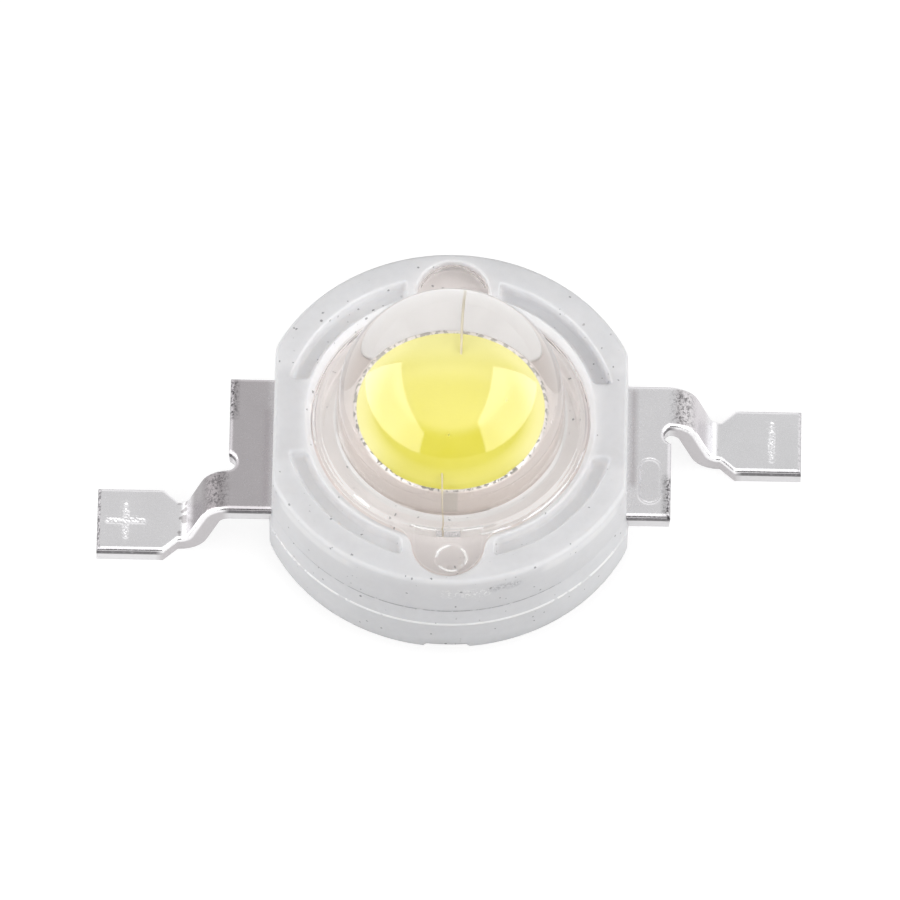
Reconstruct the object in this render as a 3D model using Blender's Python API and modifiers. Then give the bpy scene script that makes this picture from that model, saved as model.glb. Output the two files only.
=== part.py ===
# A one-watt power LED emitter: a white moulded housing round a copper slug and two formed leads, with
# a clear domed lens over the chip and its yellow phosphor. Metres, +Z up. The origin is in the middle of
# the underside, on the plane where slug and feet meet the board. The anode lead points to -X and the
# cathode lead to +X.
import math

import bmesh
import bpy
import numpy as np

mm = 0.001

# Overall sizes
lead_span = 14.3 * mm  # tip of one foot to tip of the other
clearance = 0.02 * mm  # left between neighbouring pieces, which touch on the real emitter
round_steps = 60  # sides of the large turned shapes
dome_steps = 12  # rings from the dome's top to its widest place
bore_steps = 24  # sides of the small round holes
corner_steps = 3  # facets of a small corner or fillet
bend_steps = 8  # facets of a bend in the sheet, or of a small half circle
ear_steps = 14  # facets of an ear's round end
hoop_steps = 18  # facets along the hoop inside the plastic

# Lead sheet, formed down from the housing's parting plane to the board
sheet = 0.4 * mm
tab_underside = 1.27 * mm
tab_width = 3.13 * mm
tab_end = 4.48 * mm  # where the tie bar was sheared off
neck_width = 0.96 * mm
neck_foot_width = 0.92 * mm
foot_width = 1.47 * mm
foot_middle = 1.07 * mm  # distance of the foot's middle line from the part's middle
foot_shoulder = 0.3 * mm  # length of the slanted step from neck to foot
foot_corner = 0.06 * mm
bend_start = 4.45 * mm
bend_radius = 0.42 * mm  # of the sheet's middle layer
bend_angle = math.radians(70)
relief_radius = 0.21 * mm  # round notch punched where the neck leaves the tab
relief_outside = 0.07 * mm  # how far its middle lies beyond the tab's end
relief_below_neck = 0.19 * mm  # how far its middle lies from the neck's edge
hoop_width = 0.45 * mm  # the stretch of lead that runs round inside the plastic
finger_width = 0.5 * mm
finger_tip = 2.12 * mm  # the bonding tip's distance from the axis

# Housing
housing_diameter = 8.04 * mm  # at the parting ledge
housing_underside = 0.35 * mm
housing_top = 2.83 * mm
housing_top_diameter = 7.86 * mm
housing_bottom_diameter = 7.9 * mm
waist_height = 1.9 * mm  # the upper mould line
waist_inset = 0.05 * mm
ledge_height = 1.46 * mm  # the lower mould line, at the leads
ledge_inset = 0.03 * mm
top_rounding = 0.1 * mm
flat_width = 7.2 * mm  # across the two flats, above the ledge
flat_step = 0.045 * mm  # the flats stand out by this much below the ledge
flat_draft = 0.03 * mm
cavity_diameter = 5.2 * mm
seat_chamfer = 0.12 * mm
recess_border = 0.52 * mm  # from the recesses out to the edge of the top face
recess_depth = 0.2 * mm
land_width = 1.7 * mm  # the raised lands between the recesses, over the leads
spine_width = 1.8 * mm  # the raised stretches that hold the lens ears
ear_wall = 0.13 * mm  # least plastic between an ear and a recess
notch_width = 0.97 * mm
notch_height = 0.12 * mm
notch_slope = 0.09 * mm
notch_depth = 0.8 * mm  # how far it runs in from the wall

# Slug
slug_diameter = 5.7 * mm
slug_base = 0.85 * mm
slug_chamfer = 0.08 * mm
stem_diameter = 3.9 * mm
groove_depth = 0.14 * mm
groove_low = 1.0 * mm
groove_high = 1.3 * mm
groove_slope = 0.08 * mm
stem_taper_start = 1.5 * mm
rim_height = 2.88 * mm
rim_width = 0.05 * mm
cup_diameter = 2.5 * mm
cup_depth = 0.45 * mm
cup_floor_diameter = 1.7 * mm
collar_height = 1.15 * mm  # straight outer band below the rim

# Lens
lens_diameter = 5.64 * mm  # its flange
dome_diameter = 4.62 * mm
dome_middle = 3.4 * mm  # height of the dome's centre
dome_fillet = 0.12 * mm  # between the dome's wall and the flange
flange_top = 2.82 * mm
flange_step = 0.09 * mm  # low outer ring of the flange
flange_step_diameter = 5.3 * mm
flange_rounding = 0.05 * mm
flange_underside = 2.25 * mm
lens_wall = 0.56 * mm
skirt_bore_diameter = 4.5 * mm  # of the lens's mouth
ear_width = 1.44 * mm
ear_reach = 3.72 * mm  # from the axis to the ear's end
ear_top = 2.76 * mm
ear_fillet = 0.34 * mm
gate_diameter = 0.63 * mm
gate_distance = 3.22 * mm  # from the axis to the gate hole in the front ear
runner_width = 0.36 * mm
runner_depth = 0.3 * mm

# Chip, phosphor and wires
die_side = 1.0 * mm
die_height = 0.15 * mm
attach_height = 0.03 * mm
attach_side = 1.12 * mm
pad_diameter = 0.14 * mm
pad_height = 0.02 * mm
pad_distance = 0.34 * mm  # pads from the chip's middle
phosphor_crown = 0.18 * mm
phosphor_inset = 0.03 * mm  # between its edge and the cup's rim
wire_diameter = 0.03 * mm
wire_ball_diameter = 0.07 * mm
wire_side_step = 0.11 * mm  # the wires leave beside the middle plane
wire_rise = 0.03 * mm  # of the loop over the cup's rim
wire_reach = 0.14 * mm  # from the pad to the first bend, and from the rim to the bend that leads down
wire_landing = 2.38 * mm  # where the wire meets the finger, from the axis

# Sizes that follow
tab_top = tab_underside + sheet
housing_radius = housing_diameter / 2
lens_radius = lens_diameter / 2
seat_radius = lens_radius + clearance
cavity_radius = cavity_diameter / 2
cavity_floor = tab_top
recess_radius = housing_top_diameter / 2 - recess_border
recess_floor = housing_top - recess_depth
stem_radius = stem_diameter / 2
cup_radius = cup_diameter / 2
rim_radius = cup_radius + rim_width
cup_floor = rim_height - cup_depth
dome_radius = dome_diameter / 2
bore_radius = dome_radius - lens_wall
gate_radius = gate_diameter / 2
ear_root = (lens_radius + skirt_bore_diameter / 2) / 2  # an ear starts in the middle of the flange's ring
die_underside = cup_floor + attach_height
die_top = die_underside + die_height
hoop_inner = cavity_radius + ear_wall
hoop_outer = hoop_inner + hoop_width
far = 3 * housing_radius  # cutters reach this far past what they cut


for old in list(bpy.data.objects):
    bpy.data.objects.remove(old)


def collection(name, shown):
    made = bpy.data.collections.new(name)
    made.hide_render = not shown
    bpy.context.scene.collection.children.link(made)
    return made


emitter = collection("power_led_emitter", True)
cutters = collection("cutters", False)


def material(name, colour, roughness, metallic=0.0, transmission=0.0, ior=1.5):
    made = bpy.data.materials.new(name)
    made.use_nodes = True
    shader = made.node_tree.nodes["Principled BSDF"]
    shader.inputs["Base Color"].default_value = (*colour, 1)
    shader.inputs["Roughness"].default_value = roughness
    shader.inputs["Metallic"].default_value = metallic
    shader.inputs["Transmission Weight"].default_value = transmission
    shader.inputs["IOR"].default_value = ior
    return made


white_plastic = material("white_plastic", (0.74, 0.74, 0.76), 0.42)
silver_plate = material("silver_plate", (0.72, 0.70, 0.72), 0.28, metallic=1.0)
slug_plate = material("slug_plate", (0.78, 0.76, 0.75), 0.3, metallic=1.0)
clear_plastic = material("clear_plastic", (0.98, 0.96, 0.95), 0.03, transmission=1.0, ior=1.5)
clear_gel = material("clear_gel", (0.98, 0.94, 0.92), 0.05, transmission=1.0, ior=1.42)
yellow_phosphor = material("yellow_phosphor", (0.87, 0.8, 0.1), 0.35)
blue_die = material("blue_die", (0.10, 0.14, 0.42), 0.15)
silver_glue = material("silver_glue", (0.55, 0.55, 0.56), 0.5, metallic=0.6)
gold = material("gold", (0.9, 0.62, 0.24), 0.2, metallic=1.0)


def place(name, mesh, surface):
    # An object with a material is a piece, and one without is a cutter
    made = bpy.data.objects.new(name, mesh)
    if surface:
        mesh.materials.append(surface)
        emitter.objects.link(made)
    else:
        made.hide_render = True
        made.display_type = "WIRE"
        cutters.objects.link(made)
    return made


def mesh_of(name, points, edges=(), faces=()):
    mesh = bpy.data.meshes.new(name)
    mesh.from_pydata([tuple(p) for p in points], list(edges), list(faces))
    mesh.validate()
    return mesh


def arc(middle, radius, start, end, steps):
    # Points on an arc from one angle to another, both ends included
    turn = np.linspace(start, end, steps + 1)
    return [(middle[0] + radius * math.cos(a), middle[1] + radius * math.sin(a)) for a in turn]


def rounded(corners, steps=corner_steps):
    # A closed outline whose corners (x, y, radius) become arcs where they have a radius
    outline = []
    for i, (x, y, radius) in enumerate(corners):
        here = np.array((x, y))
        if radius == 0:
            outline.append((x, y))
            continue
        before = np.array(corners[i - 1][:2]) - here
        after = np.array(corners[(i + 1) % len(corners)][:2]) - here
        before /= np.linalg.norm(before)
        after /= np.linalg.norm(after)
        half = math.acos(np.clip(before @ after, -1, 1)) / 2
        middle = here + (before + after) / np.linalg.norm(before + after) * radius / math.sin(half)
        first = here + before * radius / math.tan(half) - middle
        last = here + after * radius / math.tan(half) - middle
        start = math.atan2(first[1], first[0])
        sweep = math.remainder(math.atan2(last[1], last[0]) - start, 2 * math.pi)
        outline += arc(middle, radius, start, start + sweep, steps)
    return outline


def shade(piece, angle=math.radians(32)):
    piece.data.shade_smooth()
    piece.data.set_sharp_from_angle(angle=angle)


def turned(name, profile, surface=None, closed=False, steps=round_steps):
    # Revolves a profile of (radius, height) about Z. An open one runs from the axis, down its outer side
    # and back to the axis
    edges = [(i, i + 1) for i in range(len(profile) - 1)]
    if closed:
        edges.append((len(profile) - 1, 0))
    made = place(name, mesh_of(name, [(r, 0, z) for r, z in profile], edges), surface)
    screw = made.modifiers.new("turn", "SCREW")
    screw.axis = "Z"
    screw.steps = steps
    screw.render_steps = steps
    screw.use_merge_vertices = True
    screw.merge_threshold = 1e-7
    return made


def thickened(name, points, thickness, surface=None):
    # One flat face through the points, given a thickness along its normal by Solidify
    made = place(name, mesh_of(name, points, faces=[range(len(points))]), surface)
    solidify = made.modifiers.new("thickness", "SOLIDIFY")
    solidify.thickness = thickness
    solidify.offset = 1
    return made


def anticlockwise(outline):
    x, y = np.array(outline).T
    area = x @ np.roll(y, -1) - y @ np.roll(x, -1)
    return outline if area > 0 else outline[::-1]


def slab(name, outline, low, high, surface=None):
    # An outline in the XY plane, given its height
    return thickened(name, [(x, y, low) for x, y in anticlockwise(outline)], high - low, surface)


def side_slab(name, outline, near, width, surface=None):
    # An outline in the XZ plane, given its width along +Y
    return thickened(name, [(x, near, z) for x, z in anticlockwise(outline)[::-1]], width, surface)


def box(name, low, high, surface=None):
    outline = [(low[0], low[1]), (high[0], low[1]), (high[0], high[1]), (low[0], high[1])]
    return slab(name, outline, low[2], high[2], surface)


def boolean(piece, other, operation):
    step = piece.modifiers.new(operation.lower(), "BOOLEAN")
    step.object = other
    step.operation = operation
    step.solver = "EXACT"


def cut(piece, *others):
    for other in others:
        boolean(piece, other, "DIFFERENCE")


def join(piece, *others):
    for other in others:
        boolean(piece, other, "UNION")


def half_turn(outline):
    return [(-x, -y) for x, y in outline]


def ear_outline(grow=0.0, side=1):
    # One lens ear with the fillets that lead it into the flange, grown outwards by the given amount
    half = ear_width / 2 + grow
    fillet = ear_fillet - grow
    flange = lens_radius + grow
    fillet_height = math.sqrt((flange + fillet) ** 2 - (half + fillet) ** 2)
    lean = math.atan2(fillet_height, half + fillet)
    end_middle = ear_reach - ear_width / 2
    right = arc((half + fillet, fillet_height), fillet, math.pi + lean, math.pi, 2 * corner_steps)
    end = arc((0, min(end_middle, fillet_height)), half, 0, math.pi, ear_steps)
    left = [(-x, y) for x, y in reversed(right)]
    root = [(-half, ear_root), (half, ear_root)]
    outline = right[:-1] + end + left[1:] + root
    return outline if side > 0 else half_turn(outline)


def slug_profile():
    # From the cup's middle over the rim and down the outside to the underside's middle
    top = [(0, cup_floor), (cup_floor_diameter / 2, cup_floor), (cup_radius, rim_height)]
    stem = [
        (rim_radius, rim_height),
        (rim_radius, rim_height - collar_height),
        (stem_radius, stem_taper_start),
    ]
    base = [
        (slug_diameter / 2, slug_base),
        (slug_diameter / 2, slug_chamfer),
        (slug_diameter / 2 - slug_chamfer, 0),
        (0, 0),
    ]
    return top + stem + stem_groove() + [(stem_radius, slug_base)] + base


def stem_groove(gap=0.0):
    # The groove round the stem that keys the slug in the plastic. The plastic's rib is smaller by the gap
    inner = stem_radius - groove_depth
    return [
        (stem_radius + gap, groove_high - gap),
        (inner + gap, groove_high - groove_slope - gap),
        (inner + gap, groove_low + groove_slope + gap),
        (stem_radius + gap, groove_low + gap),
    ]


def stem_radius_at(height):
    # The tapered stem's radius at a height between its foot and its collar
    collar = rim_height - collar_height
    share = (height - stem_taper_start) / (collar - stem_taper_start)
    return stem_radius + (rim_radius - stem_radius) * min(max(share, 0), 1)


def make_slug():
    slug = turned("heat_slug", slug_profile(), slug_plate)
    shade(slug)
    return slug


def housing_profile():
    # A closed ring section, clockwise: outer wall downwards, underside, bore upwards, cavity, seat
    top = housing_top_diameter / 2
    middle = (top - top_rounding, housing_top - top_rounding)
    rounding = arc(middle, top_rounding, math.pi / 2, 0, corner_steps)
    outer = rounding[1:] + [
        (housing_radius - waist_inset - ledge_inset, waist_height),
        (housing_radius - waist_inset - 2 * ledge_inset, waist_height - ledge_inset),
        (housing_radius, ledge_height),
        (housing_radius - ledge_inset, ledge_height - ledge_inset),
        (housing_bottom_diameter / 2, housing_underside + ledge_inset),
        (housing_bottom_diameter / 2 - ledge_inset, housing_underside),
    ]
    bore = [
        (slug_diameter / 2 + clearance, housing_underside),
        (slug_diameter / 2 + clearance, slug_base + clearance),
        (stem_radius + clearance, slug_base + clearance),
        *reversed(stem_groove(clearance)),
        (stem_radius + clearance, stem_taper_start),
        (stem_radius_at(cavity_floor) + clearance, cavity_floor),
    ]
    seat = [
        (cavity_radius, cavity_floor),
        (cavity_radius, flange_underside - clearance),
        (seat_radius, flange_underside - clearance),
        (seat_radius, housing_top - seat_chamfer),
        (seat_radius + seat_chamfer, housing_top),
        rounding[0],
    ]
    return outer + bore + seat


def flat_cutter(name, side):
    # Everything beyond one flat: drafted above the ledge, and standing out by the flat's step below it
    flat = flat_width / 2
    outline = [
        (flat - flat_draft, housing_top + sheet),
        (far, housing_top + sheet),
        (far, -sheet),
        (flat + flat_step - flat_draft, -sheet),
        (flat + flat_step, tab_underside),
        (flat, tab_top),
    ]
    return side_slab(name, [(side * x, z) for x, z in outline], -far, 2 * far)


def recess_cutter():
    # Four arc pockets round the lens, stopped by the lands over the leads and by the walls round the ears
    ring = [
        (recess_radius, housing_top + sheet),
        (recess_radius, recess_floor),
        (cavity_radius, recess_floor),
        (cavity_radius, housing_top + sheet),
    ]
    ring_cutter = turned("recess_cutter", ring, closed=True)
    land = box("land_block", (-far, -land_width / 2, 0), (far, land_width / 2, far))
    spine = box("spine_block", (-spine_width / 2, -far, 0), (spine_width / 2, far, far))
    cut(ring_cutter, land, spine)
    for side, name in ((1, "rear_ear_wall"), (-1, "front_ear_wall")):
        cut(ring_cutter, slab(name, ear_outline(ear_wall, side), 0, far))
    return ring_cutter


def notch_cutter():
    # The shallow notch in the front of the lower edge
    half = notch_width / 2
    lip = housing_underside + notch_height
    outline = [
        (-half, housing_underside - sheet),
        (-half, housing_underside),
        (-half + notch_slope, lip),
        (half - notch_slope, lip),
        (half, housing_underside),
        (half, housing_underside - sheet),
    ]
    return side_slab("notch_cutter", outline, -far, far - housing_bottom_diameter / 2 + notch_depth)


def make_housing():
    housing = turned("housing", housing_profile(), white_plastic, closed=True)
    cut(housing, flat_cutter("left_flat", -1), flat_cutter("right_flat", 1))
    cut(housing, recess_cutter(), notch_cutter())
    for side, name in ((1, "rear"), (-1, "front")):
        pocket = ear_outline(clearance, side)
        cut(housing, slab(name + "_ear_pocket", pocket, flange_underside - clearance, far))
        lead_pocket = blank_outline(clearance)
        if side < 0:
            lead_pocket = half_turn(lead_pocket)
        low, high = tab_underside - clearance, tab_top + clearance
        cut(housing, slab(name + "_lead_pocket", lead_pocket, low, high))
    cut(housing, gate_cutter("runner_slot", clearance))
    shade(housing)
    return housing


def gate_cutter(name, grow=0.0):
    # The runner that leads the gel from the gate hole to the cavity, under the front ear
    half = runner_width / 2 + grow
    low = flange_underside - runner_depth - grow
    high = flange_underside - clearance + grow
    outline = [(half, -gate_distance), (half, runner_width - cavity_radius)]
    outline += [(-x, y) for x, y in reversed(outline)]
    outline += arc((0, -gate_distance), half, math.pi, 2 * math.pi, bend_steps)[1:-1]
    return slab(name, outline, low, high)


def blank_outline(grow=0.0):
    # The cathode lead as punched, seen from above: foot, neck, tab, and inside the plastic a hoop that
    # runs round to a bonding finger at the rear. It is grown by the given amount inside the housing
    half_tab = tab_width / 2
    neck_inner = half_tab - neck_width
    neck_low = foot_middle - neck_foot_width / 2
    neck_high = foot_middle + neck_foot_width / 2
    foot_low = foot_middle - foot_width / 2
    foot_high = foot_middle + foot_width / 2
    foot_end = lead_span / 2
    shoulder = bend_end() + foot_shoulder
    relief = (tab_end + relief_outside, neck_inner - relief_below_neck)
    tab_angle = math.acos(relief_outside / relief_radius)
    neck_angle = math.asin(relief_below_neck / relief_radius)
    outer, inner = hoop_outer + grow, hoop_inner - grow
    left_edge = -finger_width / 2 - grow

    foot = rounded(
        [
            (bend_end(), neck_low, 0),
            (shoulder, foot_low, 0),
            (foot_end, foot_low, foot_corner),
            (foot_end, foot_high, foot_corner),
            (shoulder, foot_high, 0),
            (bend_end(), neck_high, 0),
        ]
    )
    tab_edge = half_tab + grow
    hoop = arc((0, 0), outer, math.asin(tab_edge / outer), math.acos(left_edge / outer), hoop_steps)
    finger = [(left_edge, finger_tip - grow), (-left_edge, finger_tip - grow)]
    inside = arc((0, 0), inner, math.acos(-left_edge / inner), -math.asin(tab_edge / inner), hoop_steps)
    notch = arc(relief, relief_radius, math.pi + tab_angle, math.pi - neck_angle, bend_steps)
    return foot + [(bend_start, tab_edge)] + hoop + finger + inside + [(tab_end, -tab_edge)] + notch


def bend_end():
    # Where the lower bend runs out into the foot
    drop = tab_underside
    arcs = 2 * bend_radius * (1 - math.cos(bend_angle))
    return bend_start + 2 * bend_radius * math.sin(bend_angle) + (drop - arcs) / math.tan(bend_angle)


def strip_side(offset):
    # One face of the formed sheet, as (x, z) points at an offset above its middle layer
    upper = (bend_start, tab_underside + sheet / 2 - bend_radius)
    lower = (bend_end(), sheet / 2 + bend_radius)
    right_angle = math.pi / 2
    points = [(0, tab_underside + sheet / 2 + offset)]
    points += arc(upper, bend_radius + offset, right_angle, right_angle - bend_angle, bend_steps)
    points += arc(lower, bend_radius - offset, -right_angle - bend_angle, -right_angle, bend_steps)
    return points + [(lead_span, sheet / 2 + offset)]


def make_lead(name, side):
    # The blank's outline kept out of a strip that is formed in the shape of the lead's side view
    section = strip_side(sheet / 2) + list(reversed(strip_side(-sheet / 2)))
    outline = blank_outline()
    if side < 0:
        section = [(-x, z) for x, z in section]
        outline = half_turn(outline)
    lead = side_slab(name, section, -housing_radius, 2 * housing_radius, silver_plate)
    boolean(lead, slab(name + "_blank", outline, -sheet, tab_top + sheet), "INTERSECT")
    shade(lead)
    return lead


def dome_arc(radius, steps):
    # Down a dome from its top to its widest place
    points = arc((0, dome_middle), radius, math.pi / 2, 0, steps)
    return [(0, dome_middle + radius)] + points[1:]


def lens_profile():
    # Down the outside from the dome's top, then up the bore. The mouth is open to the gel
    fillet_middle = (dome_radius + dome_fillet, flange_top + dome_fillet)
    foot = arc(fillet_middle, dome_fillet, math.pi, 1.5 * math.pi, corner_steps) + [
        (flange_step_diameter / 2, flange_top),
        (flange_step_diameter / 2 + flange_rounding, flange_top - flange_step / 2),
        (lens_radius - flange_rounding, flange_top - flange_step),
        (lens_radius, flange_top - flange_step - flange_rounding),
        (lens_radius, flange_underside),
        (skirt_bore_diameter / 2, flange_underside),
    ]
    bore = list(reversed(dome_arc(bore_radius, dome_steps // 2)))
    return dome_arc(dome_radius, dome_steps) + foot + bore


def make_lens():
    lens = turned("lens", lens_profile(), clear_plastic)
    for side, name in ((1, "rear_ear"), (-1, "front_ear")):
        join(lens, slab(name, ear_outline(0, side), flange_underside, ear_top))
    cut(lens, gate_hole("gate_hole", gate_radius, 0, far))
    shade(lens)
    return lens


def gate_hole(name, radius, low, high):
    outline = arc((0, -gate_distance), radius, 0, 2 * math.pi, bore_steps)[:-1]
    return slab(name, outline, low, high)


def phosphor_dome(gap):
    # The slightly crowned top of the phosphor, from the axis to the cup's rim, raised by the gap
    radii = np.linspace(0, cup_radius, dome_steps // 2)
    return [(r, rim_height + phosphor_crown * (1 - (r / cup_radius) ** 2) + gap) for r in radii]


def gel_profile():
    # Down the lens's bore, out along its mouth, down the cavity and back over the slug to the phosphor
    outside = dome_arc(bore_radius - clearance, dome_steps // 2) + [
        (skirt_bore_diameter / 2 - clearance, flange_underside - clearance),
        (cavity_radius - clearance, flange_underside - clearance),
        (cavity_radius - clearance, cavity_floor + 2 * clearance),
    ]
    inside = [
        (stem_radius_at(cavity_floor) + clearance, cavity_floor + 2 * clearance),
        (rim_radius + clearance, rim_height - collar_height),
        (rim_radius + clearance, rim_height + clearance),
    ]
    return outside + inside + list(reversed(phosphor_dome(clearance)))


def make_gel():
    gel = turned("silicone_fill", gel_profile(), clear_gel)
    riser_low = flange_underside - runner_depth + clearance
    join(gel, gate_cutter("runner"))
    join(gel, gate_hole("gate_riser", runner_width / 2 - clearance, riser_low, ear_top - clearance))
    join(gel, gate_hole("gate_plug", gate_radius - clearance, flange_underside, ear_top))
    for side, name in ((-1, "anode"), (1, "cathode")):
        cut(gel, wire_tube(name + "_wire_path", side, wire_diameter / 2 + clearance))
    shade(gel)
    return gel


def make_phosphor():
    side = [
        (cup_radius - phosphor_inset, rim_height - phosphor_inset),
        (cup_floor_diameter / 2 - phosphor_inset, cup_floor + clearance),
        (0, cup_floor + clearance),
    ]
    crown = phosphor_dome(0)[:-1]
    phosphor = turned("phosphor_layer", crown + side, yellow_phosphor)
    half = die_side / 2 + clearance
    glue = attach_side / 2 + clearance
    cut(phosphor, box("die_pocket", (-half, -half, 0), (half, half, die_top + clearance)))
    cut(phosphor, box("glue_pocket", (-glue, -glue, 0), (glue, glue, die_underside + clearance)))
    for side, name in ((-1, "anode"), (1, "cathode")):
        ball = wire_ball_diameter / 2 + clearance
        cut(phosphor, wire_tube(name + "_wire_hole", side, wire_diameter / 2 + clearance))
        cut(phosphor, pad(name + "_pad_pocket", side, ball, die_top, 2 * pad_height + ball))
    shade(phosphor)
    return phosphor


def pad(name, side, radius, low, height):
    # A short post over one of the chip's two bond pads
    outline = arc(pad_place(side), radius, 0, 2 * math.pi, bore_steps // 2)[:-1]
    return slab(name, outline, low, low + height)


def pad_place(side):
    return side * wire_side_step, side * pad_distance


def make_die():
    half = die_side / 2
    low = die_underside + clearance / 2
    die = box("led_chip", (-half, -half, low), (half, half, die_top), blue_die)
    for side, name in ((-1, "anode"), (1, "cathode")):
        join(die, pad(name + "_pad", side, pad_diameter / 2, die_top - pad_height, 2 * pad_height))
    half = attach_side / 2
    box("die_attach", (-half, -half, cup_floor + clearance / 4), (half, half, die_underside), silver_glue)


def between(start, end, share):
    return start + (end - start) * share


def wire_route(side):
    # From the pad up through the phosphor, over the cup's rim and down to the bonding finger
    x, y = pad_place(side)
    start = die_top + pad_height + clearance + wire_ball_diameter / 2
    over = rim_height + clearance + wire_diameter + wire_rise
    end = tab_top + clearance + wire_diameter
    rim = side * rim_radius
    landing = side * wire_landing
    loop = [
        (x, y, start),
        (x, y + side * wire_reach, between(start, over, 0.6)),
        (x, between(y, rim, 0.5), rim_height + wire_rise),
        (x, rim + side * wire_reach, over - wire_rise / 2),
    ]
    # Shares of the way out to the finger, and of the drop there
    shares = ((0.42, 0.42), (0.62, 0.8), (0.82, 0.955))
    fall = [(x, between(rim, landing, out), between(over, end, down)) for out, down in shares]
    return loop + fall + [(x, landing, end)]


def smooth_route(points):
    # A Catmull-Rom curve through the route's own points, which are carried on by one step at each end
    points = np.array(points)
    guides = [2 * points[0] - points[1], *points, 2 * points[-1] - points[-2]]
    route = []
    for a, b, c, d in zip(guides, guides[1:], guides[2:], guides[3:]):
        for t in np.linspace(0, 1, corner_steps, endpoint=False):
            bend = (2 * a - 5 * b + 4 * c - d) * t**2 + (3 * b - a - 3 * c + d) * t**3
            route.append((2 * b + (c - a) * t + bend) / 2)
    return route + [points[-1]]


def wire_tube(name, side, radius, surface=None):
    # A tube along the wire's route, made a closed mesh so that it can be cut with
    curve = bpy.data.curves.new(name, "CURVE")
    curve.dimensions = "3D"
    curve.bevel_depth = radius
    curve.bevel_resolution = 1
    curve.use_fill_caps = True
    route = smooth_route(wire_route(side))
    spline = curve.splines.new("POLY")
    spline.points.add(len(route) - 1)
    for point, spot in zip(spline.points, route):
        point.co = (*spot, 1)
    guide = bpy.data.objects.new(name + "_curve", curve)
    cutters.objects.link(guide)
    bpy.context.view_layer.update()
    solid = guide.evaluated_get(bpy.context.evaluated_depsgraph_get())
    mesh = bpy.data.meshes.new_from_object(solid)
    bpy.data.objects.remove(guide)
    work = bmesh.new()
    work.from_mesh(mesh)
    bmesh.ops.remove_doubles(work, verts=work.verts, dist=1e-7)
    bmesh.ops.recalc_face_normals(work, faces=work.faces)
    work.to_mesh(mesh)
    work.free()
    mesh.materials.clear()
    return place(name, mesh, surface)


def wire_ball(name, side):
    # The ball that the wire starts from, on its pad
    mesh = bpy.data.meshes.new(name)
    work = bmesh.new()
    bmesh.ops.create_uvsphere(work, u_segments=12, v_segments=8, radius=wire_ball_diameter / 2)
    bmesh.ops.translate(work, verts=work.verts, vec=wire_route(side)[0])
    work.to_mesh(mesh)
    work.free()
    return place(name, mesh, None)


def make_wire(name, side):
    wire = wire_tube(name, side, wire_diameter / 2, gold)
    join(wire, wire_ball(name + "_ball", side))
    shade(wire)
    return wire


make_slug()
make_housing()
make_lead("anode_lead", -1)
make_lead("cathode_lead", 1)
make_lens()
make_gel()
make_phosphor()
make_die()
make_wire("bond_wire_anode", -1)
make_wire("bond_wire_cathode", 1)
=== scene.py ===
import math
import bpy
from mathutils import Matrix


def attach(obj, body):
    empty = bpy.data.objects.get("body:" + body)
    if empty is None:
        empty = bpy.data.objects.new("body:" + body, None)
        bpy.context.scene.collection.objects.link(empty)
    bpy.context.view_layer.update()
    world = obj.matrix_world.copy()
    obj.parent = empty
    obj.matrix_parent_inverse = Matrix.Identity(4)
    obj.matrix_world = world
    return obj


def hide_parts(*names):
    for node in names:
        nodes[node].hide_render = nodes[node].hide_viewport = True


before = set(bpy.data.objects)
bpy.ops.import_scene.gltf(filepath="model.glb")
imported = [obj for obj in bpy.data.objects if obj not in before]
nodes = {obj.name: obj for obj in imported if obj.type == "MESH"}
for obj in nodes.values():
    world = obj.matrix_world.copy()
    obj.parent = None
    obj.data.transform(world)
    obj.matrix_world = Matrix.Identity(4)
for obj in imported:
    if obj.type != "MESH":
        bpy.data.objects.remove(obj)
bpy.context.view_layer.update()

from types import SimpleNamespace as Named

import bpy
import numpy as np
from mathutils import Matrix, Vector, geometry

mm = 0.001
print("frame loaded:", ", ".join(sorted(nodes)))


# Meshes from grids

def newPiece(name, points, faceArrays, materials, replaced=(), faceSlots=None, sharpAngle=None, depth=None):
    # Points are in millimetres. Each face array holds faces with the same number of corners
    corners = np.concatenate([f.ravel() for f in faceArrays]).astype(np.int32)
    counts = np.concatenate([np.full(len(f), f.shape[1]) for f in faceArrays])
    starts = np.concatenate([[0], np.cumsum(counts)[:-1]]).astype(np.int32)
    mesh = bpy.data.meshes.new(name)
    mesh.vertices.add(len(points))
    mesh.vertices.foreach_set("co", (points * mm).astype(np.float32).ravel())
    mesh.loops.add(len(corners))
    mesh.loops.foreach_set("vertex_index", corners)
    mesh.polygons.add(len(counts))
    mesh.polygons.foreach_set("loop_start", starts)
    for material in materials:
        mesh.materials.append(material)
    if faceSlots is not None:
        mesh.polygons.foreach_set("material_index", faceSlots.astype(np.int32))
    if depth is not None:
        mesh.attributes.new("depth", "FLOAT", "POINT").data.foreach_set("value", depth.astype(np.float32))
    mesh.update(calc_edges=True)
    mesh.validate()
    mesh.shade_smooth()
    if sharpAngle:
        mesh.set_sharp_from_angle(angle=math.radians(sharpAngle))
    piece = bpy.data.objects.new(name, mesh)
    bpy.context.scene.collection.objects.link(piece)
    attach(piece, "root")
    if replaced:
        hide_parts(*replaced)
    print(name, len(mesh.polygons), "faces")
    return piece


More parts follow.
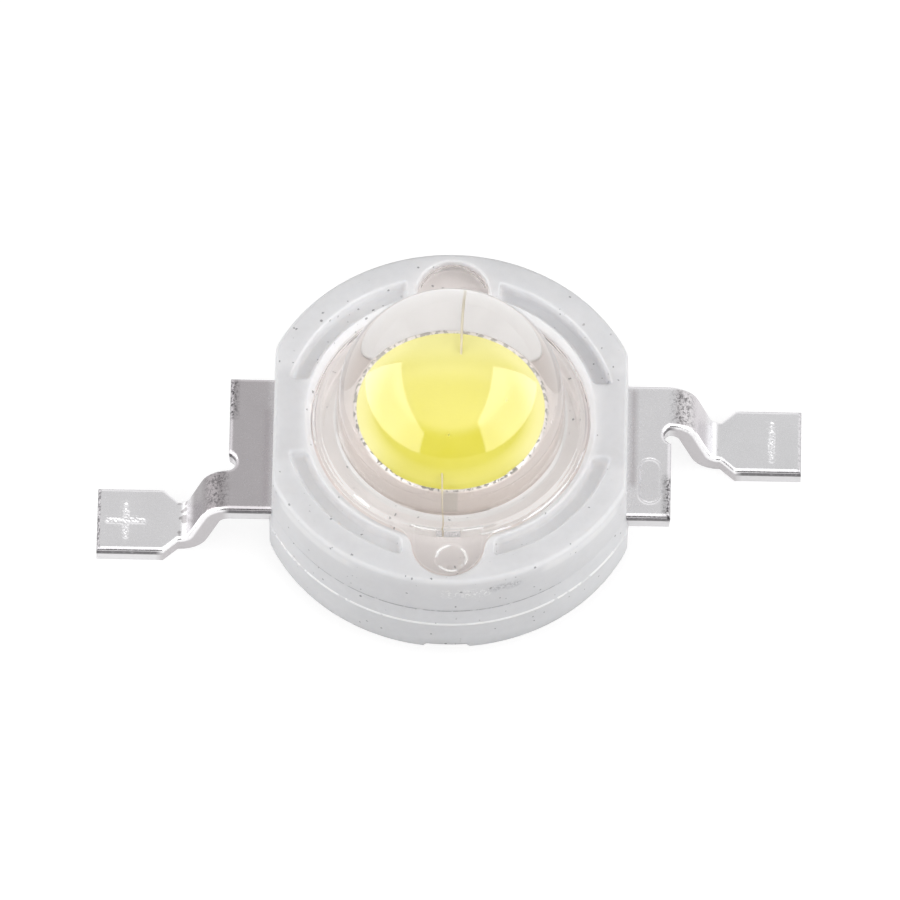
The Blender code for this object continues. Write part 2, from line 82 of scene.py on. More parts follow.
def gridFaces(grid, ringClosed):
    # Quads of a grid of rows and columns whose columns close round. Rows run down the outside, columns turn
    # anticlockwise, so the faces point outwards. A closed ring also joins the last row to the first. Otherwise
    # the first and last rows are closed with a pole each
    rows, columns = grid.shape[:2]
    index = np.arange(rows * columns).reshape(rows, columns)
    upper = index if ringClosed else index[:-1]
    lower = np.roll(index, -1, 0) if ringClosed else index[1:]
    quads = np.stack([upper, lower, np.roll(lower, -1, 1), np.roll(upper, -1, 1)], -1).reshape(-1, 4)
    points = grid.reshape(-1, 3)
    if ringClosed:
        return points, [quads]
    first, last = len(points), len(points) + 1
    points = np.concatenate([points, [grid[0].mean(0), grid[-1].mean(0)]])
    top = np.stack([index[0], np.roll(index[0], -1), np.full(columns, first)], -1)
    bottom = np.stack([np.roll(index[-1], -1), index[-1], np.full(columns, last)], -1)
    return points, [quads, top, bottom]


def polar(radius, height, angles):
    # Rows of radius and height against angle, as points
    radius, height = np.broadcast_arrays(radius, height)
    return np.stack([radius * np.cos(angles), radius * np.sin(angles), height], -1)


def revolved(profile, columns):
    # A profile of radius and height turned round the axis, closed with a pole at each end
    angles = np.linspace(0, 2 * math.pi, columns, endpoint=False)[None, :]
    return gridFaces(polar(profile[:, :1] + 0 * angles, profile[:, 1:], angles), False)


def angleSteps(coarse, fine, halfWidth):
    # Angles round the axis, with fine steps within halfWidth degrees of the two ears at 90 and 270
    quarter = np.concatenate([
        np.arange(0, 90 - halfWidth, coarse),
        np.arange(90 - halfWidth, 90 + halfWidth, fine),
        np.arange(90 + halfWidth, 180, coarse),
    ])
    return np.radians(np.concatenate([quarter, quarter + 180]))


def rowsBetween(a, b, count, ends=True):
    # Rows that go evenly from a to b, each a number or an array over the angles
    share = np.linspace(0, 1, count)[:, None]
    rows = np.asarray(a) + (np.asarray(b) - np.asarray(a)) * share
    return rows if ends else rows[:-1]


def ease(value):
    # Smoothstep from 0 to 1
    t = np.clip(value, 0, 1)
    return t * t * (3 - 2 * t)


def roundJoin(a, b, radius):
    # Union of two distance fields (negative inside) with a fillet of this radius in the inner corner
    fillet = np.hypot(np.maximum(radius - a, 0), np.maximum(radius - b, 0))
    return np.maximum(radius, np.minimum(a, b)) - fillet


def roundMeet(a, b, radius):
    # Intersection of two distance fields with a rounded outer corner
    return -roundJoin(-a, -b, radius)


def softLess(a, b, width):
    # The smaller of two values, rounded where they cross
    share = np.maximum(width - np.abs(a - b), 0) / width
    return np.minimum(a, b) - share * share * width / 4


# Shader nodes

def addNode(tree, kind, inputs=(), **settings):
    made = tree.nodes.new("ShaderNode" + kind)
    for name, value in settings.items():
        setattr(made, name, value)
    for name, value in dict(inputs).items():
        setInput(tree, made, name, value)
    return made


def setInput(tree, made, name, value):
    socket = made.inputs[name]
    if isinstance(value, bpy.types.NodeSocket):
        tree.links.new(value, socket)
    elif isinstance(value, (tuple, list)) and socket.type == "RGBA" and len(value) == 3:
        socket.default_value = (*value, 1)
    else:
        socket.default_value = value


def calc(tree, operation, a, b=0.0, c=0.0, clamp=False):
    made = addNode(tree, "Math", {0: a, 1: b, 2: c}, operation=operation, use_clamp=clamp)
    return made.outputs[0]


def chain(operation):
    # A function that joins any number of values with one operation
    def join(tree, made, *others):
        for value in others:
            made = calc(tree, operation, made, value)
        return made
    return join


times, most, total = chain("MULTIPLY"), chain("MAXIMUM"), chain("ADD")


def remap(tree, value, low, high, toLow=0.0, toHigh=1.0):
    made = addNode(tree, "MapRange", {"Value": value, "From Min": low, "From Max": high,
                                                "To Min": toLow, "To Max": toHigh},
                   interpolation_type="SMOOTHSTEP")
    return made.outputs["Result"]


def blend(tree, share, a, b):
    return addNode(tree, "Mix", {0: share, 6: a, 7: b}, data_type="RGBA").outputs[2]


def layered(tree, colour, layers):
    # Lays colours over one another, each where its own mask shows it
    for mask, over in layers:
        colour = blend(tree, mask, colour, over)
    return colour


def newGroup(name, inputs, outputs):
    # A shader node group with named float sockets, and Object coordinates in millimetres inside it
    group = bpy.data.node_groups.new(name, "ShaderNodeTree")
    for label, value in inputs.items():
        group.interface.new_socket(label, in_out="INPUT", socket_type="NodeSocketFloat").default_value = value
    for label in outputs:
        group.interface.new_socket(label, in_out="OUTPUT", socket_type="NodeSocketFloat")
    entry = group.nodes.new("NodeGroupInput")
    leave = group.nodes.new("NodeGroupOutput")
    place = addNode(group, "TexCoord").outputs["Object"]
    place = addNode(group, "VectorMath", {0: place, 1: (1000, 1000, 1000)}, operation="MULTIPLY").outputs[0]
    return group, entry.outputs, leave, place


def buildSpecks():
    # Small round dots scattered in space: a cell's point shows where the cell's own random number is low
    group, given, leave, place = newGroup("specks", {"Per mm": 3.0, "Size": 0.1, "Share": 0.2}, ["Mask"])
    wobble = addNode(group, "TexNoise", {"Vector": place, "Scale": 18.0, "Detail": 1.0})
    shift = addNode(group, "VectorMath", {0: wobble.outputs["Color"], 1: (0.05, 0.05, 0.05)},
                    operation="MULTIPLY")
    bent = addNode(group, "VectorMath", {0: place, 1: shift.outputs[0]}, operation="ADD")
    cells = addNode(group, "TexVoronoi", {"Vector": bent.outputs[0], "Scale": given["Per mm"]})
    chance = addNode(group, "SeparateColor", {"Color": cells.outputs["Color"]})
    shown = calc(group, "LESS_THAN", chance.outputs[0], given["Share"])
    size = times(group, given["Size"], total(group, chance.outputs[1], 0.35))
    near = calc(group, "SUBTRACT", size, cells.outputs["Distance"])
    dot = calc(group, "DIVIDE", near, times(group, given["Size"], 0.5), clamp=True)
    group.links.new(times(group, dot, shown), leave.inputs["Mask"])
    return group


def buildUneven():
    # Slow and fine unevenness, both centred on 0, for tone, roughness and bump
    group, given, leave, place = newGroup("uneven", {"Slow per mm": 0.6, "Fine per mm": 9.0}, ["Slow", "Fine"])
    for label, scale, detail in (("Slow", "Slow per mm", 3.0), ("Fine", "Fine per mm", 4.0)):
        noise = addNode(group, "TexNoise", {"Vector": place, "Scale": given[scale], "Detail": detail})
        group.links.new(calc(group, "SUBTRACT", noise.outputs["Fac"], 0.5), leave.inputs[label])
    return group


def buildZone():
    # 1 inside a box given by its middle and half sizes in millimetres, fading over Edge at its faces
    names = {start + axis: value for start, value in (("Middle ", 0.0), ("Half ", 1.0)) for axis in "XYZ"}
    names["Edge"] = 0.1
    group, given, leave, place = newGroup("zone", names, ["Mask"])
    split = addNode(group, "SeparateXYZ", {0: place})
    mask = None
    for axis in "XYZ":
        away = calc(group, "ABSOLUTE", calc(group, "SUBTRACT", split.outputs[axis], given["Middle " + axis]))
        left = calc(group, "SUBTRACT", given["Half " + axis], away)
        inside = calc(group, "DIVIDE", left, given["Edge"], clamp=True)
        mask = inside if mask is None else times(group, mask, inside)
    group.links.new(mask, leave.inputs["Mask"])
    return group


def buildGrain():
    # Crisp noise for flecks, tool marks and bright spots
    names = {"Per mm": 15.0, "Detail": 4.0, "Roughness": 0.7}
    group, given, leave, place = newGroup("grain", names, ["Fac"])
    noise = addNode(group, "TexNoise", {"Vector": place, "Scale": given["Per mm"],
                                                  "Detail": given["Detail"], "Roughness": given["Roughness"]})
    group.links.new(noise.outputs["Fac"], leave.inputs["Fac"])
    return group


speckGroup, unevenGroup, zoneGroup, grainGroup = buildSpecks(), buildUneven(), buildZone(), buildGrain()


def useGroup(tree, group, **values):
    made = addNode(tree, "Group", node_tree=group)
    for name, value in values.items():
        setInput(tree, made, name.replace("_", " "), value)
    return made.outputs


def zone(tree, middle, half, edge=0.1):
    made = addNode(tree, "Group", node_tree=zoneGroup)
    for axis, place, size in zip("XYZ", middle, half):
        made.inputs["Middle " + axis].default_value = place
        made.inputs["Half " + axis].default_value = size
    made.inputs["Edge"].default_value = edge
    return made.outputs["Mask"]


def zones(tree, boxes):
    return most(tree, *[zone(tree, *box) for box in boxes])


def newMaterial(name, **plain):
    material = bpy.data.materials.new(name)
    material.use_nodes = True
    tree = material.node_tree
    shader = tree.nodes["Principled BSDF"]
    for label, value in plain.items():
        setInput(tree, shader, label.replace("_", " "), value)
    return material, tree, shader


def addBump(tree, shader, height, strength, distance):
    bump = addNode(tree, "Bump", {"Strength": strength, "Distance": distance * mm, "Height": height})
    tree.links.new(bump.outputs["Normal"], shader.inputs["Normal"])


plasticLook = dict(
    # cavity and recess are paler colours that paint light into shaded hollows
    colour=(0.76, 0.76, 0.775), cavity=(0.957, 0.952, 0.945), recess=(0.85, 0.85, 0.86), side=(0.6, 0.6, 0.615),
    dirt=(0.16, 0.16, 0.17), scuff=(0.97, 0.97, 0.97), smudge=(0.36, 0.36, 0.38), roughness=0.38,
    # Boxes in millimetres: middle, half sizes and the width over which each fades
    dirtyBoxes=(((-2.4, 2.7, 2.9), (1.5, 1.4, 2.0), 0.5), ((-3.6, 0, 2.83), (0.15, 2.2, 1.0), 0.1),
                ((2.9, 2.0, 2.83), (0.6, 1.5, 2.0), 0.5)),
    cavityBoxes=(((0, 0, 1.9), (2.72, 2.72, 0.42), 0.06), ((0, 0, 2.1), (0.85, 3.85, 0.2), 0.06)),
    sideBoxes=(((-3.3, 0, 2.85), (0.4, 1.2, 0.1), 0.2), ((3.3, 0, 2.85), (0.4, 1.2, 0.1), 0.2)),
    recessBox=((0, 0, 2.6), (3.46, 3.46, 0.16), 0.1), plainRecessBox=((2.5, 2.0, 2.6), (1.6, 1.3, 0.4), 0.3),
    # The parting boxes hold a painted highlight, the mould line box painted shade
    partingBox=((0, -3.2, 1.318), (3.4, 1.6, 0.022), 0.012),
    partingFrontBox=((0.4, -3.9, 1.318), (1.7, 0.6, 0.022), 0.012),
    mouldLineBox=((-0.6, -3.2, 1.715), (2.9, 1.6, 0.035), 0.012),
    fleckBox=((0.4, -3.9, 2.37), (0.6, 0.5, 0.22), 0.2), smudgeBox=((1.15, -3.8, 2.45), (0.4, 0.6, 0.16), 0.15),
)


def makePlastic():
    look = Named(**plasticLook)
    material, tree, shader = newMaterial("mouldedWhite", Subsurface_Scale=0.7 * mm,
                                         Subsurface_Radius=(1.0, 0.95, 0.9), IOR=1.5)
    uneven = useGroup(tree, unevenGroup, Slow_per_mm=0.9, Fine_per_mm=6.0)
    dust = useGroup(tree, speckGroup, Per_mm=4.6, Size=0.125, Share=0.26)["Mask"]
    grit = useGroup(tree, speckGroup, Per_mm=10.0, Size=0.24, Share=0.08)["Mask"]
    edgeDust = useGroup(tree, speckGroup, Per_mm=5.6, Size=0.17, Share=0.4)["Mask"]
    tone = calc(tree, "MULTIPLY_ADD", total(tree, uneven["Slow"], times(tree, uneven["Fine"], 0.7)), 0.13, 0.95)
    # Painted light: the cavity and the ear pockets get a paler colour that lifts the shade down in them
    cavity = zones(tree, look.cavityBoxes)
    # Painted light: the arc recesses, all but the back right one, get a paler colour against their shade
    recess = calc(tree, "SUBTRACT", zone(tree, *look.recessBox), zone(tree, *look.plainRecessBox), clamp=True)
    pale = layered(tree, look.colour, [(recess, look.recess), (zones(tree, look.sideBoxes), look.side),
                                       (cavity, look.cavity)])
    setInput(tree, shader, "Subsurface Weight", times(tree, calc(tree, "SUBTRACT", 1.0, cavity), 0.75))
    pale = addNode(tree, "HueSaturation", {"Color": pale, "Value": tone}).outputs[0]
    # White scuff flecks on the wall, and along the parting line a broken white line that is a painted highlight on
    # its lip; grey smudges beside the flecks, and along the upper mould line a grey line that is painted shade in its
    # groove
    flecks = useGroup(tree, grainGroup, Per_mm=15.0, Detail=4.0, Roughness=0.7)["Fac"]
    broken = remap(tree, useGroup(tree, grainGroup, Per_mm=6.5, Detail=3.0, Roughness=0.5)["Fac"], 0.36, 0.5)
    white = most(tree, times(tree, zone(tree, *look.fleckBox), remap(tree, flecks, 0.53, 0.6)),
                 times(tree, zone(tree, *look.partingBox), broken), zone(tree, *look.partingFrontBox))
    smudge = times(tree, zone(tree, *look.smudgeBox), remap(tree, flecks, 0.4, 0.6), 0.8)
    grey = most(tree, smudge, times(tree, zone(tree, *look.mouldLineBox), broken))
    dirt = times(tree, most(tree, dust, grit, times(tree, edgeDust, zones(tree, look.dirtyBoxes))), 0.75)
    # The smudge colour also paints the shade along the mould line, and the scuff colour the highlight along the
    # parting line
    colour = layered(tree, pale, [(grey, look.smudge), (times(tree, white, 0.9), look.scuff), (dirt, look.dirt)])
    setInput(tree, shader, "Base Color", colour)
    setInput(tree, shader, "Roughness", calc(tree, "MULTIPLY_ADD", uneven["Fine"], 0.3, look.roughness))
    height = calc(tree, "SUBTRACT", total(tree, uneven["Fine"], uneven["Slow"]), dirt)
    addBump(tree, shader, height, 0.35, 0.012)
    return material


plateLook = dict(
    anode=dict(foot=(0.85, 0.84, 0.855), tab=(0.57, 0.54, 0.555), slope=(0.34, 0.32, 0.33), bend=(0.35, 0.325, 0.335),
               wall=(0.5, 0.46, 0.48), fracture=(0.76, 0.75, 0.76), pressedLevel=0.52, endMarks=0.8),
    cathode=dict(foot=(0.86, 0.855, 0.87), tab=(0.84, 0.83, 0.845), slope=(0.66, 0.63, 0.65), bend=(0.58, 0.56, 0.57),
                 wall=(0.5, 0.46, 0.475), fracture=(0.72, 0.71, 0.72), pressedLevel=0.36, endMarks=0.3),
    both=dict(shear=(0.3, 0.285, 0.295), pressed=(0.5, 0.48, 0.49), rolled=(0.5, 0.48, 0.5),
              rolledNeck=(0.93, 0.92, 0.93), fractureNeck=(0.58, 0.56, 0.57), marks=(0.09, 0.085, 0.09),
              burnished=(0.05, 0.045, 0.05), roughness=0.24),
)


def makePlate(name, side, own):
    # Tin plate on a stamped lead. side is -1 for the lead that points to -X
    look = Named(**plateLook["both"], **own)
    material, tree, shader = newMaterial(name, Metallic=1.0, Specular_IOR_Level=0.5)

    def part(x, y, z, half, edge):
        # A zone given for the lead that points to +X, turned half a turn for the other one
        return zone(tree, (side * x, side * y, z), half, edge)

    uneven = useGroup(tree, unevenGroup, Slow_per_mm=0.9, Fine_per_mm=22.0)
    grain = useGroup(tree, grainGroup, Per_mm=15.0, Detail=5.0, Roughness=0.7)["Fac"]
    spots = useGroup(tree, grainGroup, Per_mm=6.0, Detail=1.0, Roughness=0.5)["Fac"]
    depth = addNode(tree, "Attribute", attribute_name="depth").outputs["Fac"]
    tone = calc(tree, "MULTIPLY_ADD", uneven["Slow"], 0.16, 1.0)
    colour = blend(tree, part(4.4, 0, 1.6, (1.0, 2.0, 1.3), 0.35), look.foot, look.tab)
    colour = addNode(tree, "HueSaturation", {"Color": colour, "Value": tone}).outputs[0]
    # Dark tool marks along the sheared end of the tab and on the upper bend
    shear = most(tree, part(4.44, -1.15, 1.6, (0.16, 0.62, 0.3), 0.15),
                 times(tree, part(7.17, 1.07, 0.35, (0.1, 0.8, 0.2), 0.03), look.endMarks))
    marks = times(tree, most(tree, shear, times(tree, part(4.72, 1.05, 1.5, (0.3, 0.5, 0.5), 0.2), 0.75)),
                  remap(tree, grain, 0.45, 0.58))
    # The inner side of the lower bend, where the punch pressed it: uneven darker patches of painted shade break the
    # bend's highlight into bright spots
    pressed = times(tree, part(5.42, 1.05, 0.45, (0.12, 0.6, 0.2), 0.05),
                    remap(tree, spots, look.pressedLevel, look.pressedLevel - 0.1))
    # The punched side: a burnished band under the rolled edge, painted nearly black as a painted dark reflection,
    # over the paler fracture
    neck = part(5.2, 1.0, 0.8, (0.75, 1.0, 1.2), 0.15)
    rolled, fracture = remap(tree, depth, 0.002, 0.012), remap(tree, depth, 0.08, 0.14)
    burnished = times(tree, remap(tree, depth, 0.05, 0.075), remap(tree, depth, 0.19, 0.15),
                      calc(tree, "SUBTRACT", 1.0, neck),
                      calc(tree, "MULTIPLY_ADD", remap(tree, grain, 0.3, 0.5), 0.3, 0.5))
    colour = layered(tree, colour, [
        # Painted shade: the slope and the upper bend get darker colours, so that they reflect less light
        (part(5.05, 1.05, 0.9, (0.22, 0.7, 0.8), 0.1), look.slope),
        (part(4.75, 1.05, 1.5, (0.25, 0.7, 0.6), 0.14), look.bend),
        (times(tree, part(3.72, 0.3, 1.6, (0.12, 1.2, 0.4), 0.12), 0.6), look.wall),
        (times(tree, shear, 0.5), look.shear),
        (pressed, look.pressed),
        (times(tree, rolled, 0.6), look.rolled),
        (times(tree, rolled, neck), look.rolledNeck),
        (fracture, look.fracture),
        (times(tree, fracture, neck), look.fractureNeck),
        (times(tree, marks, calc(tree, "SUBTRACT", 1.0, fracture)), look.marks),
        (burnished, look.burnished),
    ])
    setInput(tree, shader, "Base Color", colour)
    rough = calc(tree, "MULTIPLY_ADD", uneven["Fine"], 0.25, look.roughness)
    rough = total(tree, rough, times(tree, fracture, 0.25), times(tree, marks, 0.2))
    setInput(tree, shader, "Roughness", rough)
    height = calc(tree, "SUBTRACT", total(tree, uneven["Fine"], uneven["Slow"]), marks)
    addBump(tree, shader, height, 0.3, 0.008)
    return material


slugLook = dict(
    warm=(0.74, 0.66, 0.61), cool=(0.70, 0.63, 0.59), stripe=(0.52, 0.49, 0.43), dull=(0.66, 0.61, 0.57),
    spots=(0.22, 0.2, 0.17), polished=(0.84, 0.8, 0.77), roughness=0.34,
    rimBox=((0, 0, 2.88), (1.4, 1.4, 0.035), 0.02),
    stripeBox=((0.01, -1.3, 2.5), (0.14, 0.1, 0.4), 0.04),
    rearBox=((0, 0.85, 2.88), (1.5, 1.0, 0.2), 0.5),
    polishedBoxes=(((-0.95, -0.75, 2.9), (0.5, 0.5, 0.2), 0.1), ((0.95, -0.7, 2.9), (0.5, 0.55, 0.2), 0.1)),
)


def makeSlugPlate():
    # Silver plate over copper, warmer where it is thin, with a greyer stripe down the front of the collar
    look = Named(**slugLook)
    material, tree, shader = newMaterial("slugPlate", Metallic=0.4)
    uneven = useGroup(tree, unevenGroup, Slow_per_mm=0.8, Fine_per_mm=14.0)
    colour = blend(tree, remap(tree, uneven["Slow"], -0.12, 0.14), look.warm, look.cool)
    # The cup's rim is dull with dark spots, with a painted highlight at both sides of its front
    spots = times(tree, remap(tree, uneven["Fine"], 0.0, 0.05),
                  remap(tree, zone(tree, *look.rearBox), 0.0, 1.0, 1.0, 0.3))
    polished = times(tree, zones(tree, look.polishedBoxes), remap(tree, uneven["Fine"], 0.07, 0.02))
    dull = layered(tree, look.dull, [(spots, look.spots), (polished, look.polished)])
    colour = layered(tree, colour, [(times(tree, zone(tree, *look.stripeBox), 0.6), look.stripe),
                                    (zone(tree, *look.rimBox), dull)])
    setInput(tree, shader, "Base Color", colour)
    setInput(tree, shader, "Roughness", calc(tree, "MULTIPLY_ADD", uneven["Fine"], 0.25, look.roughness))
    addBump(tree, shader, uneven["Fine"], 0.25, 0.01)
    return material


def makeClear(name, ior, colour, passing, roughness=0.0, clearness=1.0, coat=0.0, coatIor=1.6, coatRoughness=0.02):
    # Clear plastic. A few dust specks are rougher than the polished surface round them
    material, tree, shader = newMaterial(name, Base_Color=colour, IOR=ior, Transmission_Weight=clearness,
                                         Coat_Weight=coat, Coat_IOR=coatIor, Coat_Roughness=coatRoughness)
    dust = useGroup(tree, speckGroup, Per_mm=3.0, Size=0.05, Share=0.12)["Mask"]
    setInput(tree, shader, "Roughness", calc(tree, "MULTIPLY_ADD", dust, 0.3, roughness))
    # Lamps shine through it
    rays = addNode(tree, "LightPath").outputs
    through = addNode(tree, "BsdfTransparent", {0: passing}).outputs[0]
    mixed = addNode(tree, "MixShader", {0: rays["Is Shadow Ray"], 1: shader.outputs[0], 2: through})
    tree.links.new(mixed.outputs[0], tree.nodes["Material Output"].inputs["Surface"])
    return material


phosphorLook = dict(deep=(0.56, 0.51, 0.055), light=(0.59, 0.54, 0.075), thin=(0.78, 0.74, 0.32),
                    grit=(0.2, 0.18, 0.12))


def makePhosphor():
    # Phosphor powder in silicone: an even yellow, paler towards its edge at the sides and across its back, partly a
    # thinner layer at the edge and partly a painted haze of reflection
    look = Named(**phosphorLook)
    material, tree, shader = newMaterial("phosphorYellow", Roughness=0.5, Specular_IOR_Level=0.0)
    uneven = useGroup(tree, unevenGroup, Slow_per_mm=1.1, Fine_per_mm=26.0)
    grit = useGroup(tree, speckGroup, Per_mm=7.0, Size=0.16, Share=0.04)["Mask"]
    place = addNode(tree, "TexCoord").outputs["Object"]
    flat = addNode(tree, "VectorMath", {0: place, 1: (1000, 1000, 0)}, operation="MULTIPLY").outputs[0]
    radius = addNode(tree, "VectorMath", {0: flat}, operation="LENGTH").outputs["Value"]
    back = addNode(tree, "SeparateXYZ", {0: flat}).outputs["Y"]
    edge = times(tree, remap(tree, radius, 0.9, 1.24), remap(tree, back, -0.95, -0.3))
    edge = most(tree, edge, remap(tree, back, 0.45, 1.15))
    yellow = blend(tree, remap(tree, uneven["Slow"], -0.15, 0.15), look.deep, look.light)
    yellow = layered(tree, yellow, [(times(tree, edge, 0.7), look.thin),
                                    (times(tree, grit, remap(tree, radius, 1.18, 1.24)), look.grit)])
    setInput(tree, shader, "Base Color", yellow)
    addBump(tree, shader, uneven["Fine"], 0.3, 0.006)
    return material


def makeSmall(name, first, second, metallic, roughness):
    # A fine-grained two-tone finish for the hidden chip, its glue and the wires
    material, tree, shader = newMaterial(name, Metallic=metallic)
    uneven = useGroup(tree, unevenGroup, Slow_per_mm=4.0, Fine_per_mm=40.0)
    setInput(tree, shader, "Base Color", blend(tree, remap(tree, uneven["Slow"], -0.15, 0.15), first, second))
    setInput(tree, shader, "Roughness", calc(tree, "MULTIPLY_ADD", uneven["Fine"], 0.2, roughness))
    return material


plasticMaterial = makePlastic()
anodePlate = makePlate("tinPlateLeft", -1, plateLook["anode"])
cathodePlate = makePlate("tinPlateRight", 1, plateLook["cathode"])
slugMaterial = makeSlugPlate()
clearOutside = makeClear("clearOutside", 1.5, (0.99, 0.99, 0.99), (0.98, 0.98, 0.98), coat=0.85, coatRoughness=0.12)
clearInside = makeClear("clearInside", 1.056, (1.0, 0.99, 0.985), (1.0, 1.0, 1.0))
clearSeat = makeClear("clearSeat", 1.056, (0.975, 0.915, 0.895), (0.98, 0.95, 0.94))
# A pale clear finish with a strongly reflecting coat, for painted highlights on the lens
clearPaintedHighlight = makeClear("clearPaintedHighlight", 1.5, (1.0, 0.985, 0.98), (0.98, 0.97, 0.965), 0.2, 0.35, 1.0, 2.4, 0.15)
gelMaterial = makeClear("clearGel", 1.0, (1.0, 1.0, 1.0), (1.0, 1.0, 1.0))
phosphorMaterial = makePhosphor()
dieMaterial = makeSmall("blueDie", (0.10, 0.14, 0.42), (0.14, 0.18, 0.5), 0.0, 0.15)
glueMaterial = makeSmall("silverGlue", (0.5, 0.5, 0.51), (0.62, 0.62, 0.63), 0.6, 0.45)
goldMaterial = makeSmall("goldWire", (0.82, 0.75, 0.58), (0.76, 0.69, 0.53), 1.0, 0.4)
print("materials made")


# Housing

housing = dict(
    top=2.83, underside=0.35, seatFloor=2.23, seatChamfer=0.12, earChamfer=0.04,
    cavityRadius=2.6, cavityFloor=1.65,
    recessRadius=3.41, recessDepth=0.2, recessSlope=0.11, landHalf=0.85, spineHalf=0.9, recessCorner=0.12,
    earWall=0.13, clearance=0.02, topRounding=0.1,
    wall=((0.35, 3.92), (0.36, 3.945), (0.40, 3.955), (1.24, 3.985), (1.265, 3.995), (1.28, 4.012), (1.30, 4.02),
          (1.315, 4.018), (1.328, 3.992), (1.67, 3.925), (1.695, 3.908), (1.715, 3.908), (1.735, 3.93), (1.76, 3.94),
          (2.73, 3.93)),
    flatTop=3.578, flatBend=3.6, flatLow=3.645, flatBottom=3.638, flatCorner=0.06,
    notchHalf=0.485, notchHeight=0.12, notchSlope=0.09, notchInner=3.15,
    slugBore=2.87, slugShoulder=0.87, stemBore=1.97, stemTop=1.56,
)
ear = dict(flangeRadius=2.82, half=0.72, reach=3.72, fillet=0.34)


def earShape(x, y):
    # Distance to the outline of flange and ears, negative inside
    disc = np.hypot(x, y) - ear["flangeRadius"]
    beyond = np.maximum(np.abs(y) - (ear["reach"] - ear["half"]), 0)
    bar = np.hypot(x, beyond) - ear["half"]
    return roundJoin(disc, bar, ear["fillet"])


def outlineRadius(angles, gap=0.0):
    # How far flange and ears reach at each angle, widened by the gap. Halves the interval where the sign changes
    low, high = np.full_like(angles, 2.6), np.full_like(angles, 3.9)
    for _ in range(40):
        middle = (low + high) / 2
        outside = earShape(middle * np.cos(angles), middle * np.sin(angles)) > gap
        low, high = np.where(outside, low, middle), np.where(outside, middle, high)
    return low


def housingTop(x, y):
    # Height of the top face: flat, with a chamfer at the seat and four arc recesses
    h = Named(**housing)
    radius = np.hypot(x, y)
    rib = earShape(x, y) - h.earWall - h.clearance
    inside = roundMeet(radius - h.recessRadius, h.landHalf - np.abs(y), h.recessCorner)
    inside = roundMeet(inside, h.spineHalf - np.abs(x), h.recessCorner)
    inside = roundMeet(inside, -rib, h.recessCorner)
    height = h.top - h.recessDepth * ease(-inside / h.recessSlope)
    width = h.earChamfer + (h.seatChamfer - h.earChamfer) * ease((np.abs(x) - 0.8) / 0.25)
    chamfer = h.top - np.clip(width - earShape(x, y) + h.clearance, 0, width)
    return softLess(height, chamfer, 0.03)


def housingRadius(height, angles):
    # The outer wall's radius: the moulded profile, cut by the two flats
    h = Named(**housing)
    levels, radii = np.array(h.wall).T
    round_ = np.interp(height, levels, radii)
    flat = np.interp(height, (0.35, 1.27, 1.67, 2.83), (h.flatBottom, h.flatLow, h.flatBend, h.flatTop))
    return softLess(round_, flat / np.maximum(np.abs(np.cos(angles)), 0.3), h.flatCorner)


